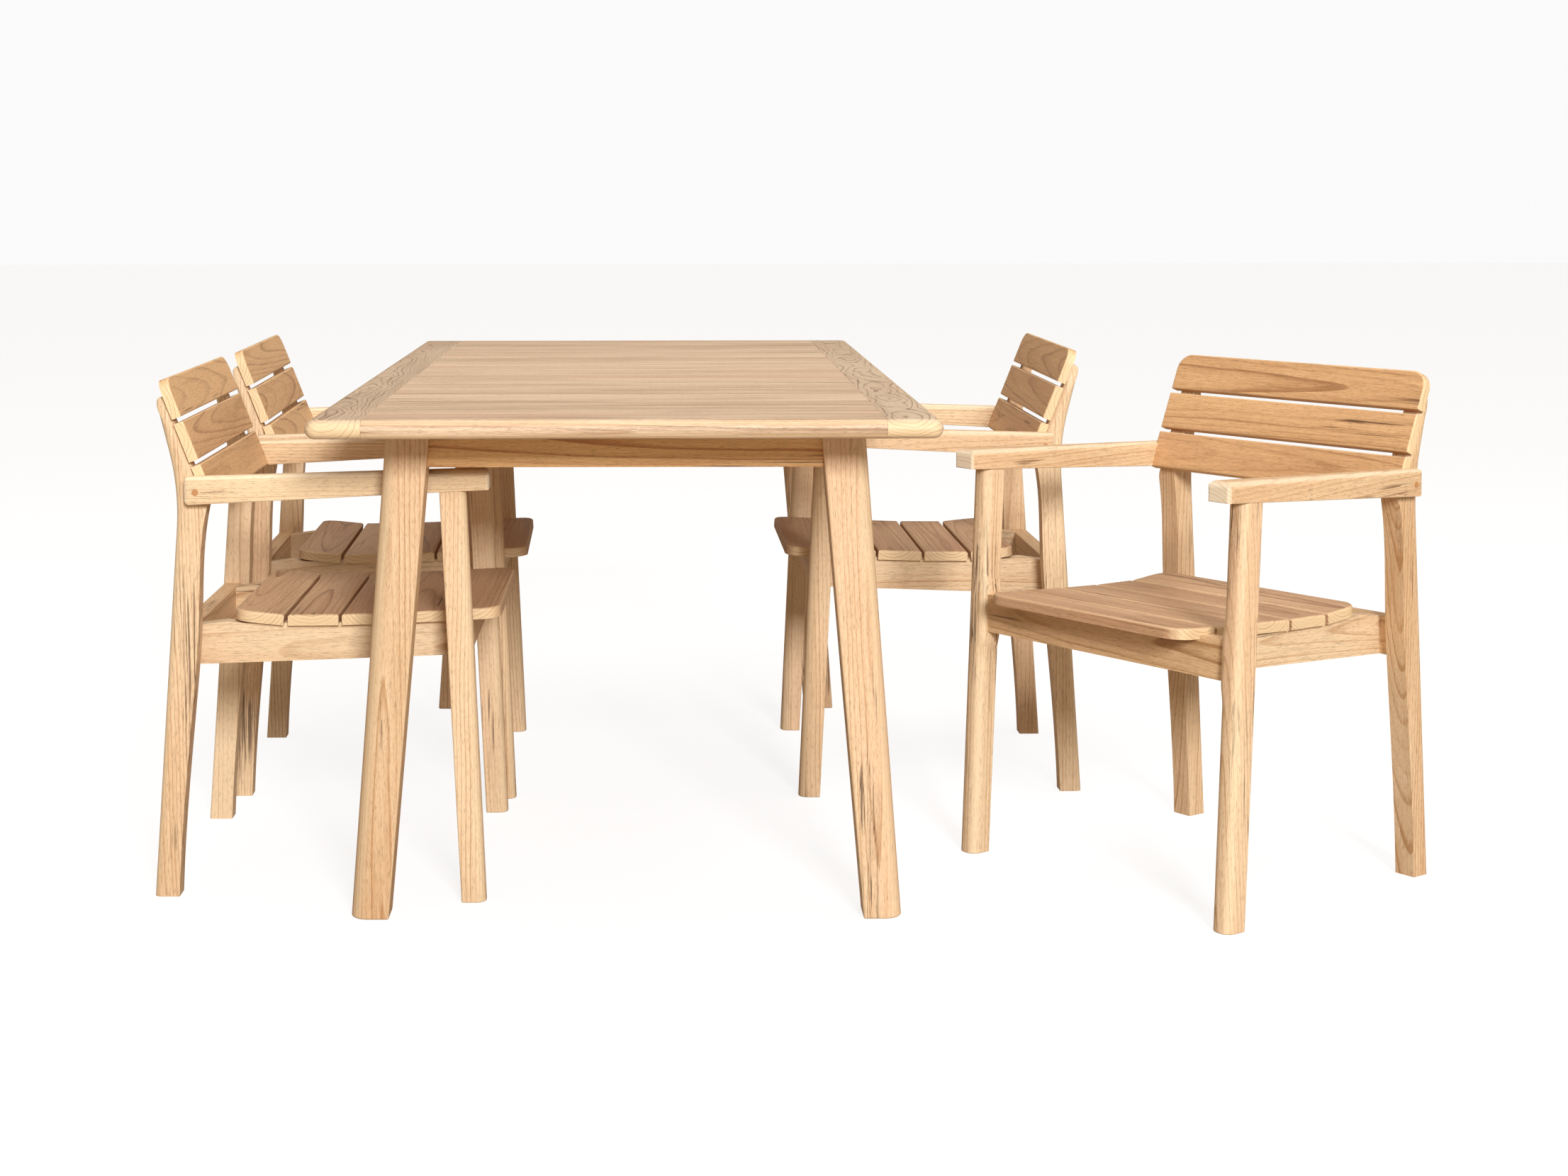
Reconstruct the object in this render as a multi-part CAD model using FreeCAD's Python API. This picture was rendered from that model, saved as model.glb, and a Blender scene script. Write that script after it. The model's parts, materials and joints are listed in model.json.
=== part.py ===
import FreeCAD, Part
import math
import os

# Patio dining set in solid teak: one slatted table and four identical armchairs.
# Millimetres, +Z up, floor at Z = 0. The table's length runs along Y and its width along X.
# The origin is the middle of the whole set's bounding box, on the floor.

V = FreeCAD.Vector

# ---- Table ----------------------------------------------------------------
TABLE_LENGTH = 1800.0
TABLE_WIDTH = 900.0
TABLE_HEIGHT = 750.0
TOP_THICKNESS = 28.0
TOP_CORNER_ALLOWANCE = 2.0     # the top's corners are rounded this much more than its edge
NOSE_FLAT = 0.4                # flat left between the two roundings of the top's edge
SIDE_BOARD_WIDTH = 80.0
CROSS_BOARD_COUNT = 17         # the two end boards and fifteen slats
BOARD_GAP = 0.6                # open joint between neighbouring boards
BOARD_BEVEL = 0.9              # bevel along each board's top edges
TONGUE_LENGTH = 12.0
TONGUE_THICKNESS = 9.0
TONGUE_CLEARANCE = 0.2
GROOVE_STOP = 34.0             # the groove stops this far short of the side boards' ends

LEG_INSET_X = 72.0             # centre of a table leg's foot, in from the top's side and end
LEG_INSET_Y = 165.0
LEG_LEAN_X = 58.0              # how far the foot stands outside the leg's top
LEG_LEAN_Y = 17.0
LEG_FOOT_WIDTH = 57.0
LEG_TOP_WIDTH = 66.0
LEG_FOOT_DEPTH = 57.0
LEG_TOP_DEPTH = 60.0
LEG_OUTER_RADIUS = 27.0
LEG_INNER_RADIUS = 4.0
LEG_SOLE_ROUNDING = 3.0

APRON_HEIGHT = 57.0
APRON_THICKNESS = 22.0
APRON_SETBACK = 13.0           # from the leg's outer face to the apron's outer face
BEARER_WIDTH = 30.0
BEARER_HEIGHT = 35.0
BEARER_INSET = 300.0           # middle of each bearer, in from the top's side
CORNER_BLOCK_NEAR = 80.0       # legs of the two triangles that bound a corner block
CORNER_BLOCK_FAR = 122.0
CORNER_BLOCK_INSET = 4.0       # the block is this much lower than the apron

BOLT_DIAMETER = 8.0
BOLT_HEAD_WIDTH = 13.0
BOLT_HEAD_HEIGHT = 5.5
BOLT_WASHER_DIAMETER = 18.0
BOLT_WASHER_THICKNESS = 1.6
BOLT_GRIP_IN_LEG = 34.0
BOLT_SPACING = 24.0
SLAT_SCREW_DIAMETER = 4.5
SLAT_SCREW_HEAD_DIAMETER = 8.5
SLAT_SCREW_HEAD_HEIGHT = 2.5
SLAT_SCREW_BITE = 16.0         # how far a screw from below goes into a top slat

# ---- Chair, in its own frame: +X is the way the sitter faces, +Y the sitter's left --------
CHAIR_HALF_WIDTH = 286.0       # outer face of the front legs
FRONT_LEG_X = 236.5            # centre of the front foot
FRONT_LEG_LEAN = 29.5          # how far the foot stands ahead of the leg's top
FRONT_LEG_WIDTH = 36.0
FRONT_LEG_FOOT_DEPTH = 37.0
FRONT_LEG_TOP_DEPTH = 40.0
FRONT_LEG_NOSE = 15.5          # radius of the rounded front
FRONT_LEG_BACK_RADIUS = 2.5
FRONT_LEG_SWELL = 4.0          # the inner face swells where the front rail meets the leg
FRONT_LEG_SWELL_RUN = 36.0     # height over which the swelling fades
CHAIR_SOLE_ROUNDING = 2.0

REAR_LEG_INSET = 37.0          # the rear legs' outer faces, in from the front legs'
REAR_LEG_WIDTH = 35.0
REAR_LEG_FOOT_BACK = -251.0    # the back of the rear feet; places "ahead" are counted from here
REAR_LEG_FOOT_DEPTH = 38.0
REAR_LEG_BEND_AHEAD = 41.4     # where the two straight runs of the back edge would meet
REAR_LEG_BEND_RISE = 23.5
REAR_LEG_BEND_RADIUS = 380.0
REAR_LEG_WAIST_RISE = 2.5      # the front edge is hollowed from here up to the lowest back slat
REAR_LEG_WAIST_INSET = 14.0
REAR_LEG_SCOOP_SHARE = 0.571   # how far up that hollow its deeper scoop is
REAR_LEG_SCOOP_INSET = 10.5
REAR_LEG_SHANK_SHARE = 0.67    # a point this far up the shank, on its straight part
POST_DROP = 28.6               # the posts' crowns begin this far below the top of the back
POST_CROWN_THICKNESS = 15.0
POST_CROWN = 7.0
REAR_LEG_OUTER_ROUNDING = 11.0
REAR_LEG_INNER_ROUNDING = 4.0

BACK_LEAN = 21.5               # degrees from upright
BACK_PLANE_AHEAD = 61.0        # a point on the posts' sloping front face
BACK_PLANE_RISE = 61.5
BACK_BOTTOM_DROP = 2.0         # lower back corner of the lowest back slat, below the rear of the arms
BACK_SLAT_COUNT = 3
BACK_SLAT_WIDTH = 62.0
BACK_SLAT_GAP = 7.5
BACK_SLAT_THICKNESS = 15.0
BACK_SLAT_OVERHANG = 5.0       # past the rear legs' outer faces
BACK_SLAT_CORNER = 27.0        # upper corners of the top slat
BACK_SLAT_EASING = 3.0

SEAT_SLAT_COUNT = 5
SEAT_SLAT_GAP = 5.0
SEAT_SLAT_THICKNESS = 17.0
SEAT_SLAT_OVERHANG = 10.0      # past the side rails' outer faces
SEAT_SLAT_CORNER = 30.0
SEAT_SLAT_EASING = 4.5
SEAT_BACK_AHEAD = 116.0        # back edge of the rearmost slat
SEAT_OVERHANG = 36.0           # front edge of the seat, ahead of the middle of the front feet
SEAT_LOW_AHEAD = 105.0         # lowest point of the dish, ahead of the seat's back edge
SEAT_LOW_Z = 422.5
SEAT_BACK_RISE = 8.5
SEAT_FRONT_RISE = 11.5
SEAT_RIDGE = 2.6               # the rails stand up this much between the slats
SEAT_END_CLEARANCE = 1.0       # beyond the slats' ends, where the front rail is cut away for them

RAIL_THICKNESS = 26.0
RAIL_HEIGHT = 60.0
SIDE_RAIL_INSET = 21.0         # the side rails' outer faces, in from the rear legs' inner faces
SIDE_RAIL_RAMP = 14.0          # length of the ramp behind the rearmost slat
BACK_RAIL_FRONT_AHEAD = 56.0
FRONT_RAIL_SETBACK = 9.5       # the front rail's face, behind the middle of the front feet
RAIL_TOP_DROP = 2.5            # the front rail's top, below the lowest point of the seat
SIDE_RAIL_FRONT_DROP = 63.5    # heights of the side rails' corners, below the same point
SIDE_RAIL_RAMP_DROP = 11.5
SIDE_RAIL_BACK_DROP = 17.5

ARM_BACK_AHEAD = 53.0
ARM_OVERHANG = 25.5            # front end of the arm, ahead of the middle of the front feet
ARM_UNDER_APRON = 9.5          # the arms pass this far below the table's aprons
ARM_FALL = 25.0                # from the front of the arm's underside to its rear
ARM_BACK_THICKNESS = 43.0
ARM_FRONT_THICKNESS = 31.0
ARM_BACK_WIDTH = 20.0
ARM_FRONT_WIDTH = 43.0
ARM_SIDE_REVEAL = 3.0          # the arm's front stands this much outside the leg
ARM_BACK_ROUNDING = 8.0        # radius along the arm's upper edges
ARM_FRONT_ROUNDING = 12.5
ARM_UNDER_ROUNDING = 1.5
ARM_HEEL_RADIUS = 11.0         # rounded rear end, seen from the side
ARM_TOE_RADIUS = 11.0          # rounded front end, seen from the side
ARM_PLAN_OUTER_RADIUS = 7.0    # front corners, seen from above
ARM_PLAN_INNER_RADIUS = 5.0
ARM_HOUSING_CLEARANCE = 0.4    # round the end of the lowest back slat
ARM_STATIONS = 9
ARM_END_SPARE = 2.0            # the arm is drawn this much too long at each end before it is rounded

ARM_DOWEL_DIAMETER = 10.0      # its end shows as a round plug on the arm's outer face
ARM_DOWEL_STAND = 0.4
ARM_DOWEL_AHEAD = 71.0
ARM_DOWEL_RISE = 19.5          # above the rear of the arm's underside
ARM_DOWEL_IN_POST = 12.0
DOWEL_DIAMETER = 8.0
DOWEL_LENGTH = 36.0
DOWEL_SPACING = 26.0
BACK_DOWEL_IN_SLAT = 9.0
BACK_DOWEL_IN_POST = 10.0
BACK_DOWEL_SHARE = 0.5         # how far up each back slat its dowel is
SEAT_DOWEL_IN_SLAT = 10.0
SEAT_DOWEL_IN_RAIL = 24.0

# ---- Where each chair stands -------------------------------------------------------------------
# How far its middle is out from the table's side, how far it is from its neighbours, and the way it faces.
NEAR_LEFT_OUT = 17.0
FAR_LEFT_OUT = 14.0
FAR_RIGHT_OUT = 97.0
NEAR_RIGHT_OUT = 456.0
CLEAR_OF_TABLE = 40.0          # from the top to chairs that do not fit between its legs
NEAR_LEFT_LEG_GAP = 29.5       # from the near left table foot to the chair's front leg
CHAIR_TO_CHAIR_GAP = 54.0
FAR_RIGHT_LEG_GAP = 170.5
RIGHT_CHAIR_GAP = 149.0
FAR_LEFT_FACING = 1.2
FAR_RIGHT_FACING = 180.6
NEAR_RIGHT_FACING = 215.5

# ---- Sizes that follow from the ones above ----------------------------------------------------
LEAN = math.radians(BACK_LEAN)
TOP_UNDERSIDE = TABLE_HEIGHT - TOP_THICKNESS
TOP_NOSE_RADIUS = (TOP_THICKNESS - NOSE_FLAT) / 2
TOP_CORNER_RADIUS = TOP_NOSE_RADIUS + TOP_CORNER_ALLOWANCE
LEG_FOOT_X = TABLE_WIDTH / 2 - LEG_INSET_X
LEG_FOOT_Y = TABLE_LENGTH / 2 - LEG_INSET_Y
BEARER_X = TABLE_WIDTH / 2 - BEARER_INSET

FRONT_LEG_INNER = CHAIR_HALF_WIDTH - FRONT_LEG_WIDTH
REAR_LEG_OUTER = CHAIR_HALF_WIDTH - REAR_LEG_INSET
REAR_LEG_INNER = REAR_LEG_OUTER - REAR_LEG_WIDTH

ARM_FRONT_X = FRONT_LEG_X + ARM_OVERHANG
ARM_BACK_X = REAR_LEG_FOOT_BACK + ARM_BACK_AHEAD
ARM_FRONT_UNDER = TOP_UNDERSIDE - APRON_HEIGHT - ARM_UNDER_APRON - ARM_FRONT_THICKNESS
ARM_BACK_UNDER = ARM_FRONT_UNDER - ARM_FALL
ARM_DOWEL_X = REAR_LEG_FOOT_BACK + ARM_DOWEL_AHEAD
ARM_DOWEL_Z = ARM_BACK_UNDER + ARM_DOWEL_RISE

BACK_BOTTOM_Z = ARM_BACK_UNDER - BACK_BOTTOM_DROP
BACK_PLANE_X = REAR_LEG_FOOT_BACK + BACK_PLANE_AHEAD
BACK_PLANE_Z = BACK_BOTTOM_Z + BACK_PLANE_RISE
BACK_HEIGHT = BACK_SLAT_COUNT * (BACK_SLAT_WIDTH + BACK_SLAT_GAP) - BACK_SLAT_GAP
BACK_SLAT_HALF_LENGTH = REAR_LEG_OUTER + BACK_SLAT_OVERHANG
POST_CROWN_Z = BACK_BOTTOM_Z + BACK_HEIGHT * math.cos(LEAN) - POST_DROP
REAR_LEG_BEND_X = REAR_LEG_FOOT_BACK + REAR_LEG_BEND_AHEAD
REAR_LEG_BEND_Z = BACK_BOTTOM_Z + REAR_LEG_BEND_RISE
REAR_LEG_WAIST_Z = SEAT_LOW_Z + REAR_LEG_WAIST_RISE

SIDE_RAIL_OUTER = REAR_LEG_INNER - SIDE_RAIL_INSET
BACK_RAIL_FRONT_X = REAR_LEG_FOOT_BACK + BACK_RAIL_FRONT_AHEAD
FRONT_RAIL_FRONT_X = FRONT_LEG_X - FRONT_RAIL_SETBACK
FRONT_RAIL_TOP = SEAT_LOW_Z - RAIL_TOP_DROP
FRONT_RAIL_BOTTOM = FRONT_RAIL_TOP - RAIL_HEIGHT
SIDE_RAIL_BACK_TOP = SEAT_LOW_Z - SIDE_RAIL_BACK_DROP
SIDE_RAIL_BACK_BOTTOM = SIDE_RAIL_BACK_TOP - RAIL_HEIGHT
SIDE_RAIL_RAMP_TOP = SEAT_LOW_Z - SIDE_RAIL_RAMP_DROP
SIDE_RAIL_FRONT_BOTTOM = SEAT_LOW_Z - SIDE_RAIL_FRONT_DROP

SEAT_BACK_X = REAR_LEG_FOOT_BACK + SEAT_BACK_AHEAD
SEAT_LOW_X = SEAT_BACK_X + SEAT_LOW_AHEAD
SEAT_FRONT_X = FRONT_LEG_X + SEAT_OVERHANG
SEAT_SLAT_HALF_LENGTH = SIDE_RAIL_OUTER + SEAT_SLAT_OVERHANG
SEAT_PITCH = (SEAT_FRONT_X - SEAT_BACK_X + SEAT_SLAT_GAP) / SEAT_SLAT_COUNT
SEAT_SLAT_WIDTH = SEAT_PITCH - SEAT_SLAT_GAP
TOUCH = 0.001                  # tolerance for telling one edge from another
SPARE = 60.0                   # how far a cutting shape runs past what it cuts


# ---- General shapes ---------------------------------------------------------
def blend(start, end, share):
    """The value that lies a given share of the way from start to end."""
    return start + (end - start) * share


def block(x_low, x_high, y_low, y_high, z_low, z_high):
    """A box between two opposite corners."""
    return Part.makeBox(x_high - x_low, y_high - y_low, z_high - z_low, V(x_low, y_low, z_low))


def side_prism(points, y_low, y_high):
    """A prism whose outline is given in X and Z, from y_low to y_high."""
    outline = [V(x, y_low, z) for x, z in points]
    face = Part.Face(Part.makePolygon(outline + outline[:1]))
    return face.extrude(V(0, y_high - y_low, 0))


def plan_prism(points, z_low, z_high):
    """A prism whose outline is given in X and Y, from z_low to z_high."""
    outline = [V(x, y, z_low) for x, y in points]
    face = Part.Face(Part.makePolygon(outline + outline[:1]))
    return face.extrude(V(0, 0, z_high - z_low))


def arc_edge(start, middle, end):
    """An edge along the circle through three points."""
    return Part.Arc(start, middle, end).toShape()


def line_edge(start, end):
    """A straight edge."""
    return Part.LineSegment(start, end).toShape()


def rounded_loop(corners, radii, at):
    """A closed wire through four corners in order, each rounded by its own radius.

    The corners are pairs of numbers in the wire's plane, and at turns a pair into a point.
    """
    starts, ends, middles = [], [], []
    for index, (corner, radius) in enumerate(zip(corners, radii)):
        before = unit(corners[index - 1], corner)
        after = unit(corners[(index + 1) % 4], corner)
        starts.append((corner[0] + before[0] * radius, corner[1] + before[1] * radius))
        ends.append((corner[0] + after[0] * radius, corner[1] + after[1] * radius))
        reach = radius * (2.0 - math.sqrt(2.0)) / 2.0
        middles.append((corner[0] + (before[0] + after[0]) * reach,
                        corner[1] + (before[1] + after[1]) * reach))
    edges = []
    for index in range(4):
        edges.append(arc_edge(at(*starts[index]), at(*middles[index]), at(*ends[index])))
        edges.append(line_edge(at(*ends[index]), at(*starts[(index + 1) % 4])))
    return Part.Wire(edges)


def unit(target, origin):
    """The unit direction from origin to target, as a pair."""
    run = (target[0] - origin[0], target[1] - origin[1])
    length = math.hypot(*run)
    return (run[0] / length, run[1] / length)


def mirrored(shape):
    """The same piece for the other side, mirrored across the XZ plane."""
    return shape.mirror(V(0, 0, 0), V(0, 1, 0))


def pin(start, direction, diameter, length):
    """A round pin, dowel or shank."""
    return Part.makeCylinder(diameter / 2.0, length, start, direction)


def clear_above(height):
    """A height well above another, for cutting shapes."""
    return height + SPARE


def edges_at(shape, test):
    """The edges of a shape whose middle passes a test."""
    return [edge for edge in shape.Edges if test(edge.CenterOfMass, edge)]


# ---- Table top ---------------------------------------------------------------
def top_blank():
    """The whole top as one slab, with rounded corners and a bullnose all round."""
    slab = block(-TABLE_WIDTH / 2, TABLE_WIDTH / 2, -TABLE_LENGTH / 2, TABLE_LENGTH / 2,
                 TOP_UNDERSIDE, TABLE_HEIGHT)
    middle = (TOP_UNDERSIDE + TABLE_HEIGHT) / 2
    upright = edges_at(slab, lambda centre, edge: abs(centre.z - middle) < TOUCH)
    slab = slab.makeFillet(TOP_CORNER_RADIUS, upright)
    rim = edges_at(slab, lambda centre, edge: abs(centre.z - middle) > TOUCH)
    return slab.makeFillet(TOP_NOSE_RADIUS, rim)


def cross_board_limits(index):
    """The low and high Y of one board that runs across the table, counted from the near end."""
    pitch = TABLE_LENGTH / CROSS_BOARD_COUNT
    low = -TABLE_LENGTH / 2 + index * pitch
    return low + BOARD_GAP / 2, low + pitch - BOARD_GAP / 2


def cross_board(index, blank):
    """An end board or a slat: bevelled along its joints, with a tongue at each end."""
    low, high = cross_board_limits(index)
    first = index == 0
    last = index == CROSS_BOARD_COUNT - 1
    reach = TABLE_WIDTH / 2 - SIDE_BOARD_WIDTH - BOARD_GAP / 2
    outline = [(low - (SPARE if first else 0), TOP_UNDERSIDE),
               (high + (SPARE if last else 0), TOP_UNDERSIDE)]
    if last:
        outline.append((high + SPARE, TABLE_HEIGHT))
    else:
        outline += [(high, TABLE_HEIGHT - BOARD_BEVEL), (high - BOARD_BEVEL, TABLE_HEIGHT)]
    if first:
        outline.append((low - SPARE, TABLE_HEIGHT))
    else:
        outline += [(low + BOARD_BEVEL, TABLE_HEIGHT), (low, TABLE_HEIGHT - BOARD_BEVEL)]
    points = [V(-reach, y, z) for y, z in outline]
    board = Part.Face(Part.makePolygon(points + points[:1])).extrude(V(2 * reach, 0, 0))
    if first or last:
        board = board.common(blank)
    stop = TABLE_LENGTH / 2 - GROOVE_STOP - TONGUE_CLEARANCE
    middle = (TOP_UNDERSIDE + TABLE_HEIGHT) / 2
    tongue_reach = TABLE_WIDTH / 2 - SIDE_BOARD_WIDTH + TONGUE_LENGTH
    half = TONGUE_THICKNESS / 2
    tongue = block(-tongue_reach, tongue_reach, max(low, -stop), min(high, stop),
                   middle - half, middle + half)
    return board.fuse(tongue).removeSplitter()


def side_board(blank):
    """The board along the right-hand side, grooved for the tongues of every cross board."""
    inner = TABLE_WIDTH / 2 - SIDE_BOARD_WIDTH
    outer = TABLE_WIDTH / 2 + SPARE
    length = TABLE_LENGTH / 2 + SPARE
    outline = [(inner, TOP_UNDERSIDE), (outer, TOP_UNDERSIDE), (outer, TABLE_HEIGHT),
               (inner + BOARD_BEVEL, TABLE_HEIGHT), (inner, TABLE_HEIGHT - BOARD_BEVEL)]
    board = side_prism(outline, -length, length).common(blank)
    middle = (TOP_UNDERSIDE + TABLE_HEIGHT) / 2
    half = TONGUE_THICKNESS / 2 + TONGUE_CLEARANCE
    stop = TABLE_LENGTH / 2 - GROOVE_STOP
    depth = TONGUE_LENGTH + TONGUE_CLEARANCE
    groove = block(inner - SPARE, inner + depth, -stop, stop, middle - half, middle + half)
    return board.cut(groove)


def both_sides(shape):
    """A shape and its mirror image across the YZ plane."""
    return [shape, shape.mirror(V(0, 0, 0), V(1, 0, 0))]


# ---- Table frame --------------------------------------------------------------
def table_leg_loop(height):
    """The outline of the leg at one height, for the leg at +X and +Y."""
    share = height / TOP_UNDERSIDE
    centre_x = LEG_FOOT_X - LEG_LEAN_X * share
    centre_y = LEG_FOOT_Y - LEG_LEAN_Y * share
    half_x = blend(LEG_FOOT_WIDTH, LEG_TOP_WIDTH, share) / 2
    half_y = blend(LEG_FOOT_DEPTH, LEG_TOP_DEPTH, share) / 2
    corners = [(centre_x - half_x, centre_y - half_y), (centre_x + half_x, centre_y - half_y),
               (centre_x + half_x, centre_y + half_y), (centre_x - half_x, centre_y + half_y)]
    radii = (LEG_INNER_RADIUS, LEG_INNER_RADIUS, LEG_OUTER_RADIUS, LEG_INNER_RADIUS)
    return rounded_loop(corners, radii, lambda x, y: V(x, y, height))


def table_leg():
    """The leg at +X and +Y: raked, tapered, and rounded on its outer corner."""
    leg = Part.makeLoft([table_leg_loop(0.0), table_leg_loop(TOP_UNDERSIDE)], True, True)
    sole = edges_at(leg, lambda centre, edge: edge.BoundBox.ZMax < TOUCH)
    return leg.makeFillet(LEG_SOLE_ROUNDING, sole)


def leg_face(foot, lean, foot_size, top_size, outward):
    """Where a leg's outer or inner face stands at the height of the aprons' middle."""
    share = (TOP_UNDERSIDE - APRON_HEIGHT / 2) / TOP_UNDERSIDE
    return foot - lean * share + outward * blend(foot_size, top_size, share) / 2


def apron_outer_x():
    """The outer face of the side aprons."""
    return leg_face(LEG_FOOT_X, LEG_LEAN_X, LEG_FOOT_WIDTH, LEG_TOP_WIDTH, 1) - APRON_SETBACK


def apron_outer_y():
    """The outer face of the end aprons."""
    return leg_face(LEG_FOOT_Y, LEG_LEAN_Y, LEG_FOOT_DEPTH, LEG_TOP_DEPTH, 1) - APRON_SETBACK


def end_apron(legs):
    """The apron across the far end, cut to the raked faces of its legs."""
    outer = apron_outer_y()
    reach = LEG_FOOT_X - LEG_LEAN_X
    board = block(-reach, reach, outer - APRON_THICKNESS, outer, TOP_UNDERSIDE - APRON_HEIGHT, TOP_UNDERSIDE)
    return board.cut(Part.makeCompound(legs))


def side_apron(legs):
    """The apron along the right side, cut to the raked faces of its legs."""
    outer = apron_outer_x()
    reach = LEG_FOOT_Y - LEG_LEAN_Y
    board = block(outer - APRON_THICKNESS, outer, -reach, reach, TOP_UNDERSIDE - APRON_HEIGHT, TOP_UNDERSIDE)
    return board.cut(Part.makeCompound(legs))


def corner_block():
    """The diagonal block behind the leg at +X and +Y, between the two aprons."""
    x = apron_outer_x() - APRON_THICKNESS
    y = apron_outer_y() - APRON_THICKNESS
    outline = [(x, y - CORNER_BLOCK_NEAR), (x - CORNER_BLOCK_NEAR, y),
               (x - CORNER_BLOCK_FAR, y), (x, y - CORNER_BLOCK_FAR)]
    return plan_prism(outline, TOP_UNDERSIDE - APRON_HEIGHT + CORNER_BLOCK_INSET, TOP_UNDERSIDE)


def leg_bolts():
    """The two bolts that pull the leg at +X and +Y against the corner."""
    x = apron_outer_x() - APRON_THICKNESS - CORNER_BLOCK_FAR / 2
    y = apron_outer_y() - APRON_THICKNESS - CORNER_BLOCK_FAR / 2
    diagonal = V(1, 1, 0).normalize()
    block_depth = (CORNER_BLOCK_FAR - CORNER_BLOCK_NEAR) / math.sqrt(2.0)
    inner_corner = LEG_FOOT_X - LEG_LEAN_X - LEG_TOP_WIDTH / 2
    length = (inner_corner - x) * math.sqrt(2.0) + BOLT_GRIP_IN_LEG
    middle = TOP_UNDERSIDE - APRON_HEIGHT / 2 + CORNER_BLOCK_INSET / 2
    bolts = []
    for side in (-1, 1):
        start = V(x, y, middle + side * BOLT_SPACING / 2)
        shank = pin(start, diagonal, BOLT_DIAMETER, max(length, block_depth + BOLT_GRIP_IN_LEG))
        washer = pin(start, diagonal * -1, BOLT_WASHER_DIAMETER, BOLT_WASHER_THICKNESS)
        head = hex_head(start - diagonal * BOLT_WASHER_THICKNESS, diagonal * -1)
        bolts.append(shank.fuse([washer, head]).removeSplitter())
    return bolts


def hex_head(start, direction):
    """A hexagonal bolt head that grows from start along direction."""
    radius = BOLT_HEAD_WIDTH / math.sqrt(3.0)
    side_way = direction.cross(V(0, 0, 1)).normalize()
    corners = []
    for step in range(6):
        turn = math.radians(60 * step)
        corners.append(start + side_way * (radius * math.cos(turn)) + V(0, 0, radius * math.sin(turn)))
    return Part.Face(Part.makePolygon(corners + corners[:1])).extrude(direction * BOLT_HEAD_HEIGHT)


def bearer():
    """The right-hand bearer under the cross boards, between the end aprons."""
    reach = apron_outer_y() - APRON_THICKNESS
    return block(BEARER_X - BEARER_WIDTH / 2, BEARER_X + BEARER_WIDTH / 2, -reach, reach,
                 TOP_UNDERSIDE - BEARER_HEIGHT, TOP_UNDERSIDE)


def slat_screws():
    """One screw up through each bearer into every cross board that lies over it."""
    reach = apron_outer_y() - APRON_THICKNESS
    screws = []
    for index in range(CROSS_BOARD_COUNT):
        y = sum(cross_board_limits(index)) / 2
        if abs(y) > reach - SLAT_SCREW_HEAD_DIAMETER:
            continue
        for x in (-BEARER_X, BEARER_X):
            screws.append(slat_screw(V(x, y, TOP_UNDERSIDE - BEARER_HEIGHT)))
    return screws


def slat_screw(head_at):
    """A countersunk screw that points up, with its head flush with the bearer's underside."""
    head = Part.makeCone(SLAT_SCREW_HEAD_DIAMETER / 2, SLAT_SCREW_DIAMETER / 2, SLAT_SCREW_HEAD_HEIGHT,
                         head_at, V(0, 0, 1))
    shank = pin(head_at, V(0, 0, 1), SLAT_SCREW_DIAMETER, BEARER_HEIGHT + SLAT_SCREW_BITE)
    return head.fuse(shank).removeSplitter()


def four_corners(shape):
    """A piece of the +X +Y corner and its three mirror images, keyed by corner."""
    flip_x = shape.mirror(V(0, 0, 0), V(1, 0, 0))
    return {
        "far_right": shape,
        "far_left": flip_x,
        "near_right": shape.mirror(V(0, 0, 0), V(0, 1, 0)),
        "near_left": flip_x.mirror(V(0, 0, 0), V(0, 1, 0)),
    }


def build_table():
    """Every node of the table, as a name and its solids."""
    blank = top_blank()
    screws = slat_screws()
    screw_tool = Part.makeCompound(screws)
    boards = [cross_board(index, blank).cut(screw_tool) for index in range(CROSS_BOARD_COUNT)]
    leg_blanks = four_corners(table_leg())
    bolts = [solid for bolt in leg_bolts() for solid in four_corners(bolt).values()]
    bolt_tool = Part.makeCompound(bolts)
    legs = {corner: leg.cut(bolt_tool) for corner, leg in leg_blanks.items()}
    blanks = list(leg_blanks.values())
    far_apron = end_apron(blanks)
    blocks = [piece.cut(bolt_tool) for piece in four_corners(corner_block()).values()]
    bearers = [piece.cut(screw_tool) for piece in both_sides(bearer())]
    nodes = {"table_leg_" + corner: [leg] for corner, leg in legs.items()}
    nodes["table_side_boards"] = both_sides(side_board(blank))
    nodes["table_end_boards"] = [boards[0], boards[-1]]
    nodes["table_top_slats"] = boards[1:-1]
    nodes["table_end_aprons"] = [far_apron, mirrored(far_apron)]
    nodes["table_side_aprons"] = both_sides(side_apron(blanks))
    nodes["table_corner_blocks"] = blocks
    nodes["table_slat_bearers"] = bearers
    nodes["table_fixings"] = bolts + screws
    return nodes


# ---- Chair: legs -----------------------------------------------------------------
def arm_under(x):
    """Height of the arm's underside above the floor at one X."""
    return blend(ARM_BACK_UNDER, ARM_FRONT_UNDER, (x - ARM_BACK_X) / (ARM_FRONT_X - ARM_BACK_X))


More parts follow.
